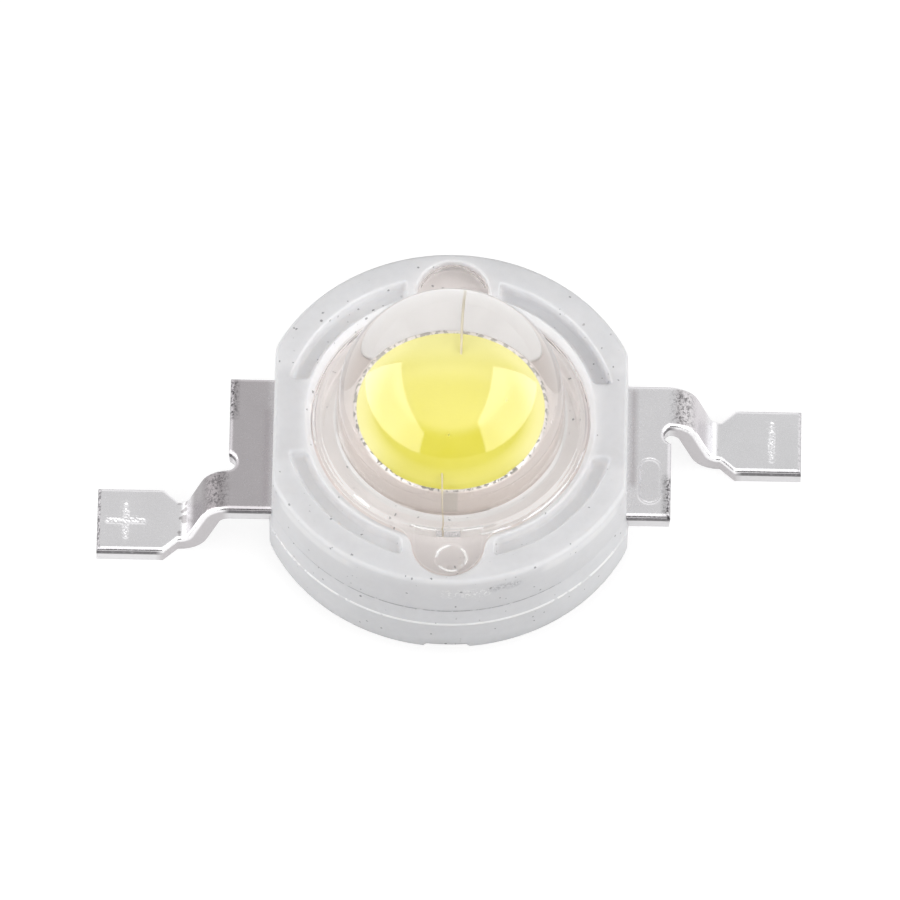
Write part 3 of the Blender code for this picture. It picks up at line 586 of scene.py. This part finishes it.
def buildHousing():
    h = Named(**housing)
    angles = angleSteps(0.75, 0.3, 17)[None, :]
    nothing = np.zeros_like(angles)
    edge = housingRadius(h.top - h.topRounding, angles)
    # Top face: rows that leave the seat's outline, pass the recesses as circles and close in on the outer edge
    seatEdge = outlineRadius(angles, h.clearance)
    limit = edge - h.topRounding
    first = np.minimum(seatEdge + 0.13, seatEdge + 0.5 * (limit - seatEdge))
    second = np.maximum(h.recessRadius + 0.03, first + 0.3 * (limit - first))
    radii = np.concatenate([rowsBetween(seatEdge, first, 8), rowsBetween(first, second, 24)[1:],
                            rowsBetween(second, limit, 21)[1:]])
    top = polar(radii, nothing, angles)
    top[..., 2] = housingTop(top[..., 0], top[..., 1])
    # Rounded edge
    turn = np.radians(np.linspace(0, 90, 7))[1:, None]
    rounding = polar(edge - h.topRounding * (1 - np.sin(turn)),
                     h.top - h.topRounding * (1 - np.cos(turn)) + nothing, angles)
    # Outer wall downwards, then the underside inwards with the notch at the front
    levels = np.concatenate([np.linspace(2.66, 1.8, 8), [1.77, 1.75, 1.735, 1.725, 1.715, 1.705, 1.695, 1.68, 1.66],
                             np.linspace(1.62, 1.38, 5),
                             [1.345, 1.33, 1.325, 1.318, 1.312, 1.3, 1.28, 1.265, 1.25, 1.23],
                             np.linspace(1.15, 0.5, 8), [0.42, 0.385, 0.365, 0.352]])[:, None]
    wall = polar(housingRadius(levels, angles), levels + nothing, angles)
    under = polar(rowsBetween(housingRadius(0.35, angles), h.slugBore, 16), h.underside, angles)
    for part in (wall, under):
        x, y = part[..., 0], part[..., 1]
        across = ease((h.notchHalf - np.abs(x)) / h.notchSlope)
        along = ease((-y - h.notchInner) / 0.05)
        floor = h.underside + h.notchHeight * across * along
        part[..., 2] = np.maximum(part[..., 2], floor)
    # Bore over the slug, cavity and seat
    inner = [(h.slugBore, 0.36), (h.slugBore, h.slugShoulder), (h.slugBore - 0.01, h.slugShoulder + 0.01),
             (h.stemBore + 0.01, h.slugShoulder + 0.01), (h.stemBore, h.slugShoulder + 0.02),
             (h.stemBore, 1.47), (h.stemTop, h.cavityFloor - 0.01), (h.stemTop + 0.01, h.cavityFloor),
             (h.cavityRadius - 0.04, h.cavityFloor), (h.cavityRadius - 0.01, h.cavityFloor + 0.01),
             (h.cavityRadius, h.cavityFloor + 0.05), (h.cavityRadius, h.seatFloor - 0.03),
             (h.cavityRadius + 0.01, h.seatFloor - 0.01), (h.cavityRadius + 0.03, h.seatFloor)]
    inner = np.array(inner)[:, :, None] + nothing
    inner = polar(inner[:, 0], inner[:, 1], angles)
    floor = polar(rowsBetween(h.cavityRadius + 0.06, seatEdge - 0.02, 4), h.seatFloor, angles)
    seatTop = housingTop(seatEdge * np.cos(angles), seatEdge * np.sin(angles))
    seat = polar(seatEdge, rowsBetween(h.seatFloor + 0.004, seatTop - 0.004, 6), angles)
    grid = np.concatenate([top, rounding, wall, under, inner, floor, seat])
    points, faces = gridFaces(grid, True)
    return newPiece("housingBody", points, faces, [plasticMaterial], ["housing"])


buildHousing()


# Lens

lens = dict(
    domeRadius=2.31, domeMiddle=3.4, fillet=0.12, flangeTop=2.82, stepRadius=2.62, stepHeight=0.09, stepWidth=0.11,
    earTop=2.76, underside=2.25, rounding=0.08, mouth=2.25, boreRadius=1.75, cavityRadius=2.6,
    gate=(0.075, -3.3), gateRadius=0.3, grooveWidth=0.035, grooveDepth=0.03, dimple=0.03,
    nub=(0.25, -3.45), nubRadius=0.06, nubHeight=0.035,
    # Arcs of the flange's edges with the painted highlight finish: radius, first and last angle in degrees, and half
    # width
    worn=((2.79, -182, -166, 0.02), (2.79, 166, 182, 0.02), (2.67, -136, -127, 0.02), (2.66, -107, -95, 0.018),
          (2.66, -84, -74, 0.016), (2.79, -77, -63, 0.018), (2.79, -58, -28, 0.022), (2.79, -25, -12, 0.016),
          (2.79, 20, 34, 0.018)),
)


def flangeTopHeight(x, y):
    # Top of flange and ears, with the low outer ring, and the filled gate hole in the front ear
    l = Named(**lens)
    radius = np.hypot(x, y)
    ring = l.flangeTop - l.stepHeight * ease((radius - l.stepRadius) / l.stepWidth)
    bar = ease((ear["half"] - np.abs(x)) / 0.06) * ease((radius - l.stepRadius - 0.01) / 0.03)
    height = ring + (l.earTop - ring) * bar
    away = np.hypot(x - l.gate[0], y - l.gate[1])
    height = height - l.grooveDepth * np.exp(-((away - l.gateRadius) / l.grooveWidth) ** 2)
    height = height - l.dimple * np.clip(1 - (away / l.gateRadius) ** 2, 0, 1)
    nub = np.hypot(x - l.nub[0], y - l.nub[1]) / l.nubRadius
    return height + l.nubHeight * np.exp(-nub ** 2)


def buildLens():
    l = Named(**lens)
    angles = angleSteps(0.9, 0.3, 17)[None, :]
    nothing = np.zeros_like(angles)
    reach = outlineRadius(angles)
    turn = np.radians(np.linspace(0.8, 90, 40))[:, None]
    dome = polar(l.domeRadius * np.sin(turn) + nothing, l.domeMiddle + l.domeRadius * np.cos(turn), angles)
    foot = l.flangeTop + l.fillet
    wall = polar(l.domeRadius + nothing, rowsBetween(l.domeMiddle - 0.1, foot + 0.02, 4), angles)
    turn = np.radians(np.linspace(0, 90, 7))[:, None]
    fillet = polar(l.domeRadius + l.fillet * (1 - np.cos(turn)) + nothing,
                   foot - l.fillet * np.sin(turn), angles)
    start = l.domeRadius + l.fillet
    radii = np.concatenate([rowsBetween(start + 0.04 + nothing, 2.63 + nothing, 5),
                            rowsBetween(2.645 + nothing, 2.71 + nothing, 6),
                            rowsBetween(2.72 + nothing, reach - l.rounding, 60)])
    flange = polar(radii, nothing, angles)
    flange[..., 2] = flangeTopHeight(flange[..., 0], flange[..., 1])
    turn = np.radians(np.linspace(0, 90, 6))[1:, None]
    edgeTop = flange[-1, :, 2]
    rounding = polar(reach - l.rounding * (1 - np.sin(turn)), edgeTop - l.rounding * (1 - np.cos(turn)), angles)
    side = polar(reach, rowsBetween(edgeTop - l.rounding - 0.1, l.underside + 0.02, 3), angles)
    outerUnder = polar(rowsBetween(reach - 0.02, l.cavityRadius + nothing, 5), l.underside, angles)
    innerUnder = polar(rowsBetween(l.cavityRadius - 0.02 + nothing, l.mouth + 0.02 + nothing, 4),
                       l.underside, angles)
    outerRows = sum(map(len, (dome, wall, fillet, flange, rounding))) - 3
    seatRows = sum(map(len, (side, outerUnder, innerUnder))) + 3
    # The bore, filled with gel, up to its dome and in to the axis
    cone = polar(rowsBetween(l.mouth, l.boreRadius, 8) + nothing,
                 rowsBetween(l.underside + 0.02, l.domeMiddle - 0.02, 8), angles)
    turn = np.radians(np.linspace(90, 1.2, 26))[:, None]
    bore = polar(l.boreRadius * np.sin(turn) + nothing, l.domeMiddle + l.boreRadius * np.cos(turn), angles)
    grid = np.concatenate([dome, wall, fillet, flange, rounding, side, outerUnder, innerUnder, cone, bore])
    points, faces = gridFaces(grid, False)
    rows, columns = grid.shape[:2]
    row = np.arange(rows - 1) - outerRows + 1
    slots = np.repeat(np.select([row < 0, row < seatRows], [0, 2], 1), columns)
    # The edge of the filled gate hole gets a pale, strongly reflecting finish: a painted highlight
    middles = points[faces[0]].mean(1)
    x, y = middles[:, 0], middles[:, 1]
    gateX, gateY = x - l.gate[0], y - l.gate[1]
    highlighted = np.abs(np.hypot(gateX, gateY) - l.gateRadius) < l.grooveWidth * 0.7
    highlighted &= np.sin(3 * np.arctan2(gateY, gateX) + 0.8) > -0.5
    # So do short stretches of the flange's edges, as painted highlights
    radius, turned = np.hypot(x, y), np.degrees(np.arctan2(y, x))
    for at, start, end, width in l.worn:
        fade = width * np.sqrt(np.clip(1 - ((turned - (start + end) / 2) / (end - start) * 2) ** 2, 0, 1))
        highlighted |= np.abs(radius - at) < fade
    slots[highlighted & (middles[:, 2] > 2.6)] = 3
    return newPiece("lensBody", points, faces, [clearOutside, clearInside, clearSeat, clearPaintedHighlight],
                    ["lens"], faceSlots=np.concatenate([slots, np.zeros(columns), np.ones(columns)]))


buildLens()


# Slug

slug = dict(
    profile=((0.02, 2.43, 0), (0.85, 2.43, 0.03), (1.252, 2.88, 0.008), (1.28, 2.88, 0.01), (1.30, 2.83, 0.02),
             (1.30, 1.73, 0.03),
             (1.95, 1.5, 0.05), (1.95, 1.3, 0.02), (1.81, 1.22, 0.02), (1.81, 1.08, 0.02), (1.95, 1.0, 0.02),
             (1.95, 0.85, 0.03), (2.85, 0.85, 0.03), (2.85, 0.08, 0.03), (2.77, 0.0, 0.03), (0.02, 0.0, 0)),
    columns=200,
)


def roundedProfile(corners, steps=4):
    # A line through corners (radius, height, rounding), each replaced by an arc that is tangent to both sides
    corners = np.array(corners)
    rows = [corners[0, :2]]
    for before, here, after in zip(corners, corners[1:], corners[2:]):
        a, b = before[:2] - here[:2], after[:2] - here[:2]
        lengths = np.linalg.norm(a), np.linalg.norm(b)
        a, b = a / lengths[0], b / lengths[1]
        half = math.acos(np.clip(a @ b, -1, 1)) / 2
        back = min(here[2] / math.tan(half), 0.45 * min(lengths)) if here[2] else 0
        t = np.linspace(0, 1, steps + 1)[:, None]
        # A quadratic curve from one tangent point to the other
        rows += list(here[:2] + a * back * (1 - t) ** 2 + b * back * t ** 2) if back else [here[:2]]
    return np.array(rows + [corners[-1, :2]])


def buildSlug():
    points, faces = revolved(roundedProfile(slug["profile"]), slug["columns"])
    return newPiece("slugBody", points, faces, [slugMaterial], ["heat_slug"], sharpAngle=35)


buildSlug()


# Phosphor

phosphor = dict(radius=1.248, rim=2.875, crown=0.18, pocketTop=2.73, pocketRadius=0.79, floor=2.45, floorRadius=0.82,
                columns=160)


def buildPhosphor():
    # A crowned top over the cup, its cone side, and a pocket over the chip underneath
    p = Named(**phosphor)
    share = np.linspace(0.02, 1, 26)
    crown = np.stack([share * p.radius, p.rim + p.crown * (1 - share ** 2)], -1)
    under = [(p.radius + 0.005, p.rim - 0.03), (p.floorRadius, p.floor), (p.pocketRadius, p.floor),
             (p.pocketRadius, p.pocketTop), (0.02, p.pocketTop)]
    points, faces = revolved(np.concatenate([crown, under]), p.columns)
    return newPiece("phosphorDome", points, faces, [phosphorMaterial], ["phosphor_layer"],
                    sharpAngle=35)


buildPhosphor()


# Gel

def buildGel():
    # Fills bore and cavity. Where it lies on slug, phosphor and housing it reaches a little into them
    l = Named(**lens)
    turn = np.radians(np.linspace(1, 90, 30))
    radius = l.boreRadius - 0.02
    dome = np.stack([radius * np.sin(turn), l.domeMiddle + radius * np.cos(turn)], -1)
    rest = [(l.mouth - 0.02, l.underside - 0.01), (2.61, l.underside - 0.01), (2.61, 1.64), (1.29, 1.64),
            (1.29, 2.87), (1.235, 2.86), (0.02, 2.83)]
    points, faces = revolved(np.concatenate([dome, rest]), 120)
    return newPiece("gelFill", points, faces, [gelMaterial], ["silicone_fill"], sharpAngle=35)


buildGel()


# Leads

lead = dict(
    sheet=0.4, middle=1.47, bendStart=4.45, bendRadius=0.42, bendAngle=70, tip=7.15,
    halfTab=1.565, tabEnd=4.48, neckInner=0.605, neckLow=0.61, neckHigh=1.53,
    footLow=0.335, footHigh=1.805, shoulder=0.3,
    reliefX=4.55, reliefY=0.415, reliefRadius=0.21,
    hoopInner=2.73, hoopOuter=3.18, fingerHalf=0.25, fingerTip=2.12,
    rollOver=0.085, burrEdge=0.025, coarse=0.09, fine=0.022,
)


def arcPoints(middleX, middleY, radius, start, end, count):
    turn = np.linspace(start, end, count)
    return np.stack([middleX + radius * np.cos(turn), middleY + radius * np.sin(turn)], -1)


def bendPath():
    # The sheet's middle layer from the side, as x, height, direction and length along it
    l = Named(**lead)
    bend = math.radians(l.bendAngle)
    low = l.sheet / 2
    upper = arcPoints(l.bendStart, l.middle - l.bendRadius, l.bendRadius, math.pi / 2, math.pi / 2 - bend, 17)
    drop = l.middle - low - 2 * l.bendRadius * (1 - math.cos(bend))
    run = 2 * l.bendRadius * math.sin(bend) + drop / math.tan(bend)
    lower = arcPoints(l.bendStart + run, low + l.bendRadius, l.bendRadius, -math.pi / 2 - bend, -math.pi / 2, 17)
    line = np.concatenate([[(-1, l.middle)], upper, lower, [(l.tip + 1, low)]])
    length = np.concatenate([[0], np.cumsum(np.hypot(*np.diff(line, axis=0).T))]) - 1
    turn = np.concatenate([[0], np.linspace(0, bend, 17), np.linspace(bend, 0, 17), [0]])
    return line, length, turn, l.bendStart + run


pathLine, pathLength, pathTurn, bendEndX = bendPath()


def toLength(x):
    # Distance along the sheet for a plan distance from the axis
    return np.interp(x, pathLine[:, 0], pathLength)


def leadOutline():
    # The cathode lead as punched, seen from above, anticlockwise
    l = Named(**lead)
    shoulder = bendEndX + l.shoulder
    foot = [(bendEndX, l.neckLow), (shoulder, l.footLow), (l.tip, l.footLow), (l.tip, l.footHigh),
            (shoulder, l.footHigh), (bendEndX, l.neckHigh), (l.bendStart, l.halfTab)]
    hoop = arcPoints(0, 0, l.hoopOuter, math.asin(l.halfTab / l.hoopOuter),
                     math.acos(-l.fingerHalf / l.hoopOuter), 24)
    finger = [(-l.fingerHalf, l.fingerTip), (l.fingerHalf, l.fingerTip)]
    inside = arcPoints(0, 0, l.hoopInner, math.acos(l.fingerHalf / l.hoopInner),
                       -math.asin(l.halfTab / l.hoopInner), 40)
    front = [(l.tabEnd, -l.halfTab)]
    tabTurn = math.acos((l.reliefX - l.tabEnd) / l.reliefRadius)
    neckTurn = math.asin((l.neckInner - l.reliefY) / l.reliefRadius)
    notch = arcPoints(l.reliefX, l.reliefY, l.reliefRadius, math.pi + tabTurn, math.pi - neckTurn, 16)
    return np.concatenate([foot, hoop, finger, inside, front, notch])


def evenly(outline, spacing):
    # The closed outline with points added, so that no side is longer than the spacing
    made = []
    for a, b in zip(outline, np.roll(outline, -1, 0)):
        count = max(1, math.ceil(np.linalg.norm(b - a) / spacing))
        made.append(a + (b - a) * np.arange(count)[:, None] / count)
    return np.concatenate(made)


def inwards(outline):
    # How each point of an anticlockwise outline moves for an inward offset of 1
    before, after = outline - np.roll(outline, 1, 0), np.roll(outline, -1, 0) - outline
    sides = [np.stack([-d[:, 1], d[:, 0]], -1) / np.linalg.norm(d, axis=1)[:, None] for d in (before, after)]
    mitre = sides[0] + sides[1]
    # The part inside the housing keeps sharper edges
    share = np.clip((outline[:, 0] - 3.0) / 0.4, 0.1, 1) / np.maximum((mitre * sides[0]).sum(1), 0.35)
    return mitre * share[:, None]


def filledFace(ring, extra):
    # Triangles that fill a ring and pass through extra points inside it, keeping the ring's own numbering
    count = len(ring)
    loose = [Vector(p) for p in np.concatenate([ring, extra])]
    edges = [(i, (i + 1) % count) for i in range(count)]
    points, _, faces, origin, _, _ = geometry.delaunay_2d_cdt(loose, edges, [], 0, 1e-5)
    points = np.array([tuple(p) for p in points])
    triangles = np.array([tuple(f) for f in faces])
    middles = points[triangles].mean(1)
    triangles = triangles[insideOf(middles, ring)]
    number = np.array([o[0] for o in origin])
    order = np.full(count + len(extra), -1)
    order[number] = np.arange(len(number))
    used = np.unique(triangles)
    ringFirst = np.concatenate([order[:count], np.setdiff1d(used, order[:count])])
    renumber = np.full(len(points), -1)
    renumber[ringFirst] = np.arange(len(ringFirst))
    return points[ringFirst], renumber[triangles]


def insideOf(points, ring):
    # Even-odd rule over the ring's sides, for all the points at once
    x, y = points[:, :1], points[:, 1:]
    a, b = ring, np.roll(ring, -1, 0)
    crosses = (a[:, 1] > y) != (b[:, 1] > y)
    with np.errstate(divide="ignore", invalid="ignore"):
        at = a[:, 0] + (y - a[:, 1]) * (b[:, 0] - a[:, 0]) / (b[:, 1] - a[:, 1])
    return (np.where(crosses, x < at, False).sum(1) % 2).astype(bool)


def pointGrid(lowS, highS, lowY, highY, step):
    s, y = np.meshgrid(np.arange(lowS, highS, step), np.arange(lowY, highY, step))
    return np.stack([s.ravel(), y.ravel()], -1)


def formed(points, offset):
    # Flat pattern points (length along the sheet, y) at an offset above the middle layer, bent to shape
    s = points[:, 0]
    x, z = np.interp(s, pathLength, pathLine[:, 0]), np.interp(s, pathLength, pathLine[:, 1])
    turn = np.interp(s, pathLength, pathTurn)
    return np.stack([x + offset * np.sin(turn), points[:, 1], z + offset * np.cos(turn)], -1)


def buildLead(name, node, side, material, relief, fineZones):
    # Rings round the outline give the rolled upper edge, the sheared side and the sharper lower edge, and the
    # two faces between them are filled with triangles. relief gives the coined marks' height
    l = Named(**lead)
    plan = leadOutline()
    outline = evenly(np.stack([toLength(plan[:, 0]), plan[:, 1]], -1), l.coarse)
    move = inwards(outline)
    half = l.sheet / 2
    turn = np.radians((0, 18, 36, 54, 72, 90))
    rings = [(l.rollOver * (1 - math.sin(t)), half - l.rollOver * (1 - math.cos(t))) for t in turn]
    rings += [(0, h) for h in (0.08, 0.04, 0.0, -0.1)]
    rings += [(l.burrEdge * (1 - math.cos(t)), -half + l.burrEdge * (1 - math.sin(t))) for t in turn[::2]]
    inner = outline + move * rings[0][0]
    s0, s1 = toLength(3.3), toLength(l.tip)
    spots = [pointGrid(s0, s1, -1.9, 1.9, l.coarse)]
    spots += [pointGrid(toLength(z[0]), toLength(z[1]), z[2], z[3], l.fine) for z in fineZones]
    spots = np.concatenate(spots)
    clear = insideOf(spots, outline + move * (rings[0][0] + 0.012))
    topPoints, topFaces = filledFace(inner, spots[clear])
    base = outline + move * rings[-1][0]
    coarse = pointGrid(s0, s1, -1.9, 1.9, 2 * l.coarse)
    basePoints, baseFaces = filledFace(base, coarse[insideOf(coarse, outline + move * 0.05)])
    count = len(outline)
    top = formed(topPoints, half + relief(topPoints))
    walls = [formed(outline + move * d, h) for d, h in rings[1:-1]]
    bottom = formed(basePoints, -half)
    depth = np.concatenate([np.zeros(len(top)), *[np.full(len(outline), half - h) for _, h in rings[1:-1]],
                            np.full(len(bottom), l.sheet)])
    points = np.concatenate([top, *walls, bottom])
    if side < 0:
        points = points * (-1, -1, 1)
    start = [0] + [len(top) + i * count for i in range(len(walls))] + [len(top) + len(walls) * count]
    step = np.arange(count)
    following = (step + 1) % count
    quads = [np.stack([a + step, b + step, b + following, a + following], -1) for a, b in zip(start, start[1:])]
    faces = [topFaces, np.concatenate(quads), baseFaces[:, ::-1] + start[-1]]
    return newPiece(name, points, faces, [material], [node], sharpAngle=50, depth=depth)


mark = dict(
    plus=(6.57, 1.12), plusArm=0.36, minus=(6.55, 1.035), minusHalf=0.42, stroke=0.062, depth=0.018, lip=0.007,
    track=(4.06, -0.72), trackHalf=0.305, trackRadius=0.22, trackWidth=0.028, trackDepth=0.012,
)


def strokeRelief(away):
    # A coined stroke: pressed in along its line, with a raised lip on both sides
    m = Named(**mark)
    pressed = -m.depth * np.exp(-(away / m.stroke) ** 4)
    return pressed + m.lip * np.exp(-((away - 1.45 * m.stroke) / 0.03) ** 2)


def barDistance(x, y, halfX, halfY):
    return np.hypot(np.maximum(np.abs(x) - halfX, 0), np.maximum(np.abs(y) - halfY, 0))


def ripple(x, y):
    # Unevenness of the coined metal: the strokes break up into dents
    return 0.6 + 0.8 * np.sin(x * 41 + 3 * np.sin(y * 23)) * np.sin(y * 37 + 2 * np.sin(x * 31))


def plusRelief(points):
    x, y = points[:, 0] - toLength(mark["plus"][0]), points[:, 1] - mark["plus"][1]
    arm = mark["plusArm"]
    away = np.minimum(barDistance(x, y, arm, 0), barDistance(x, y, 0, arm))
    return strokeRelief(away) * ripple(x, y) * (away < 0.3)


def minusRelief(points):
    x, y = points[:, 0] - toLength(mark["minus"][0]), points[:, 1] - mark["minus"][1]
    sign = barDistance(x, y, 0, mark["minusHalf"])
    made = strokeRelief(sign) * ripple(x, y) * (sign < 0.3)
    x, y = points[:, 0] - toLength(mark["track"][0]), points[:, 1] - mark["track"][1]
    track = np.abs(barDistance(x, y, 0, mark["trackHalf"]) - mark["trackRadius"])
    return made - mark["trackDepth"] * np.exp(-(track / mark["trackWidth"]) ** 2) * (track < 0.15)


buildLead("anodeLead", "anode_lead", -1, anodePlate, plusRelief, [(6.0, 7.1, 0.45, 1.6)])
buildLead("cathodeLead", "cathode_lead", 1, cathodePlate, minusRelief,
          [(6.38, 6.8, 0.4, 1.7), (3.78, 4.36, -1.33, -0.1)])


# Pieces carried over from the frame

for node, material, slotName in (
    ("led_chip", dieMaterial, "blue_die"),
    ("die_attach", glueMaterial, "silver_glue"),
    ("bond_wire_anode", goldMaterial, "gold"),
    ("bond_wire_cathode", goldMaterial, "gold"),
):
    mesh = nodes[node].data
    mesh.materials.clear()
    mesh.materials.append(material)
print("carried pieces finished")


# Floor, world, lamps and camera

studio = dict(
    floorHeight=-0.02, floorColour=0.32, floorLift=0.8, ambientSide=0.2, ambientTop=0.62,
    glossyPlain=0.7, glossyAbove=1.7, glossyLow=0.05, glossyBack=0.3, glossySide=0.3,
    lampStrength=2.25, lampDistance=0.12,
    leftLamp=(-0.235, 0.044, 0.109), rightLamp=(-0.19, 0.035, 0.145),
)


def buildFloor():
    size = 0.6
    mesh = bpy.data.meshes.new("floor")
    corners = [(-size, -size), (size, -size), (size, size), (-size, size)]
    mesh.from_pydata([(x, y, studio["floorHeight"] * mm) for x, y in corners], [], [(0, 1, 2, 3)])
    floor = bpy.data.objects.new("floor", mesh)
    bpy.context.scene.collection.objects.link(floor)
    pale = studio["floorColour"]
    material, tree, shader = newMaterial("floorPaper", Base_Color=(pale, pale, pale), Roughness=0.9,
                                         Specular_IOR_Level=0.0, Emission_Color=(1, 1, 1))
    rays = addNode(tree, "LightPath").outputs
    # Polished faces see less of it in front of the part
    place = addNode(tree, "TexCoord").outputs["Object"]
    near = remap(tree, addNode(tree, "SeparateXYZ", {0: place}).outputs["Y"], -0.025, -0.008, 0.1, 1.0)
    seen = most(tree, rays["Is Camera Ray"], rays["Is Transmission Ray"])
    seen = most(tree, seen, times(tree, rays["Is Glossy Ray"], near))
    tree.links.new(times(tree, seen, studio["floorLift"]), shader.inputs["Emission Strength"])
    mesh.materials.append(material)


def buildWorld():
    # White where the camera or glass sees it, a plain ambient light, and for glossy rays a dark place in front
    world = bpy.data.worlds.new("studio")
    bpy.context.scene.world = world
    world.use_nodes = True
    tree = world.node_tree
    back = tree.nodes["Background"]
    rays = addNode(tree, "LightPath").outputs
    way = addNode(tree, "TexCoord").outputs["Generated"]
    way = addNode(tree, "SeparateXYZ", {0: way}).outputs
    ahead = times(tree, way["Y"], -1.0)
    above = times(tree, remap(tree, ahead, -0.3, 0.1), remap(tree, way["Z"], 0.38, 0.62))
    low = times(tree, remap(tree, ahead, 0.5, 0.8), remap(tree, way["Z"], 0.55, 0.3))
    glossy = remap(tree, above, 0.0, 1.0, studio["glossyPlain"], studio["glossyAbove"])
    fade = remap(tree, low, 0.0, 1.0, 1.0, studio["glossyLow"])
    glossy = times(tree, glossy, fade)
    # A white backdrop low down behind the part, and a brighter panel at each side of it
    backdrop = times(tree, remap(tree, way["Y"], 0.2, 0.5), remap(tree, way["Z"], 0.8, 0.6))
    aside = calc(tree, "ABSOLUTE", way["X"])
    panel = times(tree, remap(tree, aside, 0.45, 0.6), remap(tree, way["Z"], 0.68, 0.5))
    panel = times(tree, panel, remap(tree, way["Y"], 0.25, 0.4))
    glossy = total(tree, glossy, times(tree, backdrop, studio["glossyBack"]))
    glossy = total(tree, glossy, times(tree, panel, studio["glossySide"]))
    seen = most(tree, rays["Is Camera Ray"], rays["Is Transmission Ray"])
    plain = remap(tree, way["Z"], 0.0, 1.0, studio["ambientSide"], studio["ambientTop"])
    strength = addNode(tree, "Mix", {0: rays["Is Glossy Ray"], 2: plain, 3: glossy}).outputs[0]
    strength = addNode(tree, "Mix", {0: seen, 2: strength, 3: 1.0}).outputs[0]
    back.inputs["Color"].default_value = (1, 1, 1, 1)
    tree.links.new(strength, back.inputs["Strength"])


def addLamp(name, side, span):
    # A softbox that stands on the floor beside the part, from y nearest the camera to y farthest, and up to z
    near, far, top = span
    light = bpy.data.lights.new(name, "AREA")
    light.shape = "RECTANGLE"
    light.size, light.size_y = far - near, top
    light.energy = studio["lampStrength"] * math.pi * (far - near) * top
    lamp = bpy.data.objects.new(name, light)
    right, up, out = Vector((0, side, 0)), Vector((0, 0, 1)), Vector((side, 0, 0))
    turn = Matrix((right, up, out)).transposed().to_4x4()
    lamp.matrix_world = Matrix.Translation((side * studio["lampDistance"], (near + far) / 2, top / 2)) @ turn
    lamp.visible_camera = False
    bpy.context.scene.collection.objects.link(lamp)


def addCamera():
    # The photograph's view, fitted to the edges of housing and leads
    fit = Named(distance=400 * mm, pixelsPerMm=49.35, shift=(-0.011, -0.599), height=2.7)
    elevation, yaw, roll = (math.radians(turn) for turn in (58.3, -0.34, 0.77))
    ahead = Vector((math.sin(yaw), math.cos(yaw), 0))
    right = Vector((math.cos(yaw), -math.sin(yaw), 0))
    forward = ahead * math.cos(elevation) - Vector((0, 0, math.sin(elevation)))
    up = ahead * math.sin(elevation) + Vector((0, 0, math.cos(elevation)))
    right, up = right * math.cos(roll) + up * math.sin(roll), up * math.cos(roll) - right * math.sin(roll)
    camera = bpy.data.objects.new("camera", bpy.data.cameras.new("camera"))
    turn = Matrix((right, up, -forward)).transposed().to_4x4()
    place = (right * fit.shift[0] + up * fit.shift[1]) * mm + Vector((0, 0, fit.height * mm))
    camera.matrix_world = Matrix.Translation(place - forward * fit.distance) @ turn
    camera.data.sensor_width = 36
    camera.data.lens = fit.pixelsPerMm / mm * fit.distance * 36 / 900
    camera.data.clip_start, camera.data.clip_end = 0.01, 5
    bpy.context.scene.collection.objects.link(camera)
    bpy.context.scene.camera = camera


buildFloor()
buildWorld()
addLamp("leftSoftbox", -1, studio["leftLamp"])
addLamp("rightSoftbox", 1, studio["rightLamp"])
addCamera()
bpy.context.scene.view_settings.view_transform = "Standard"
print("studio built")
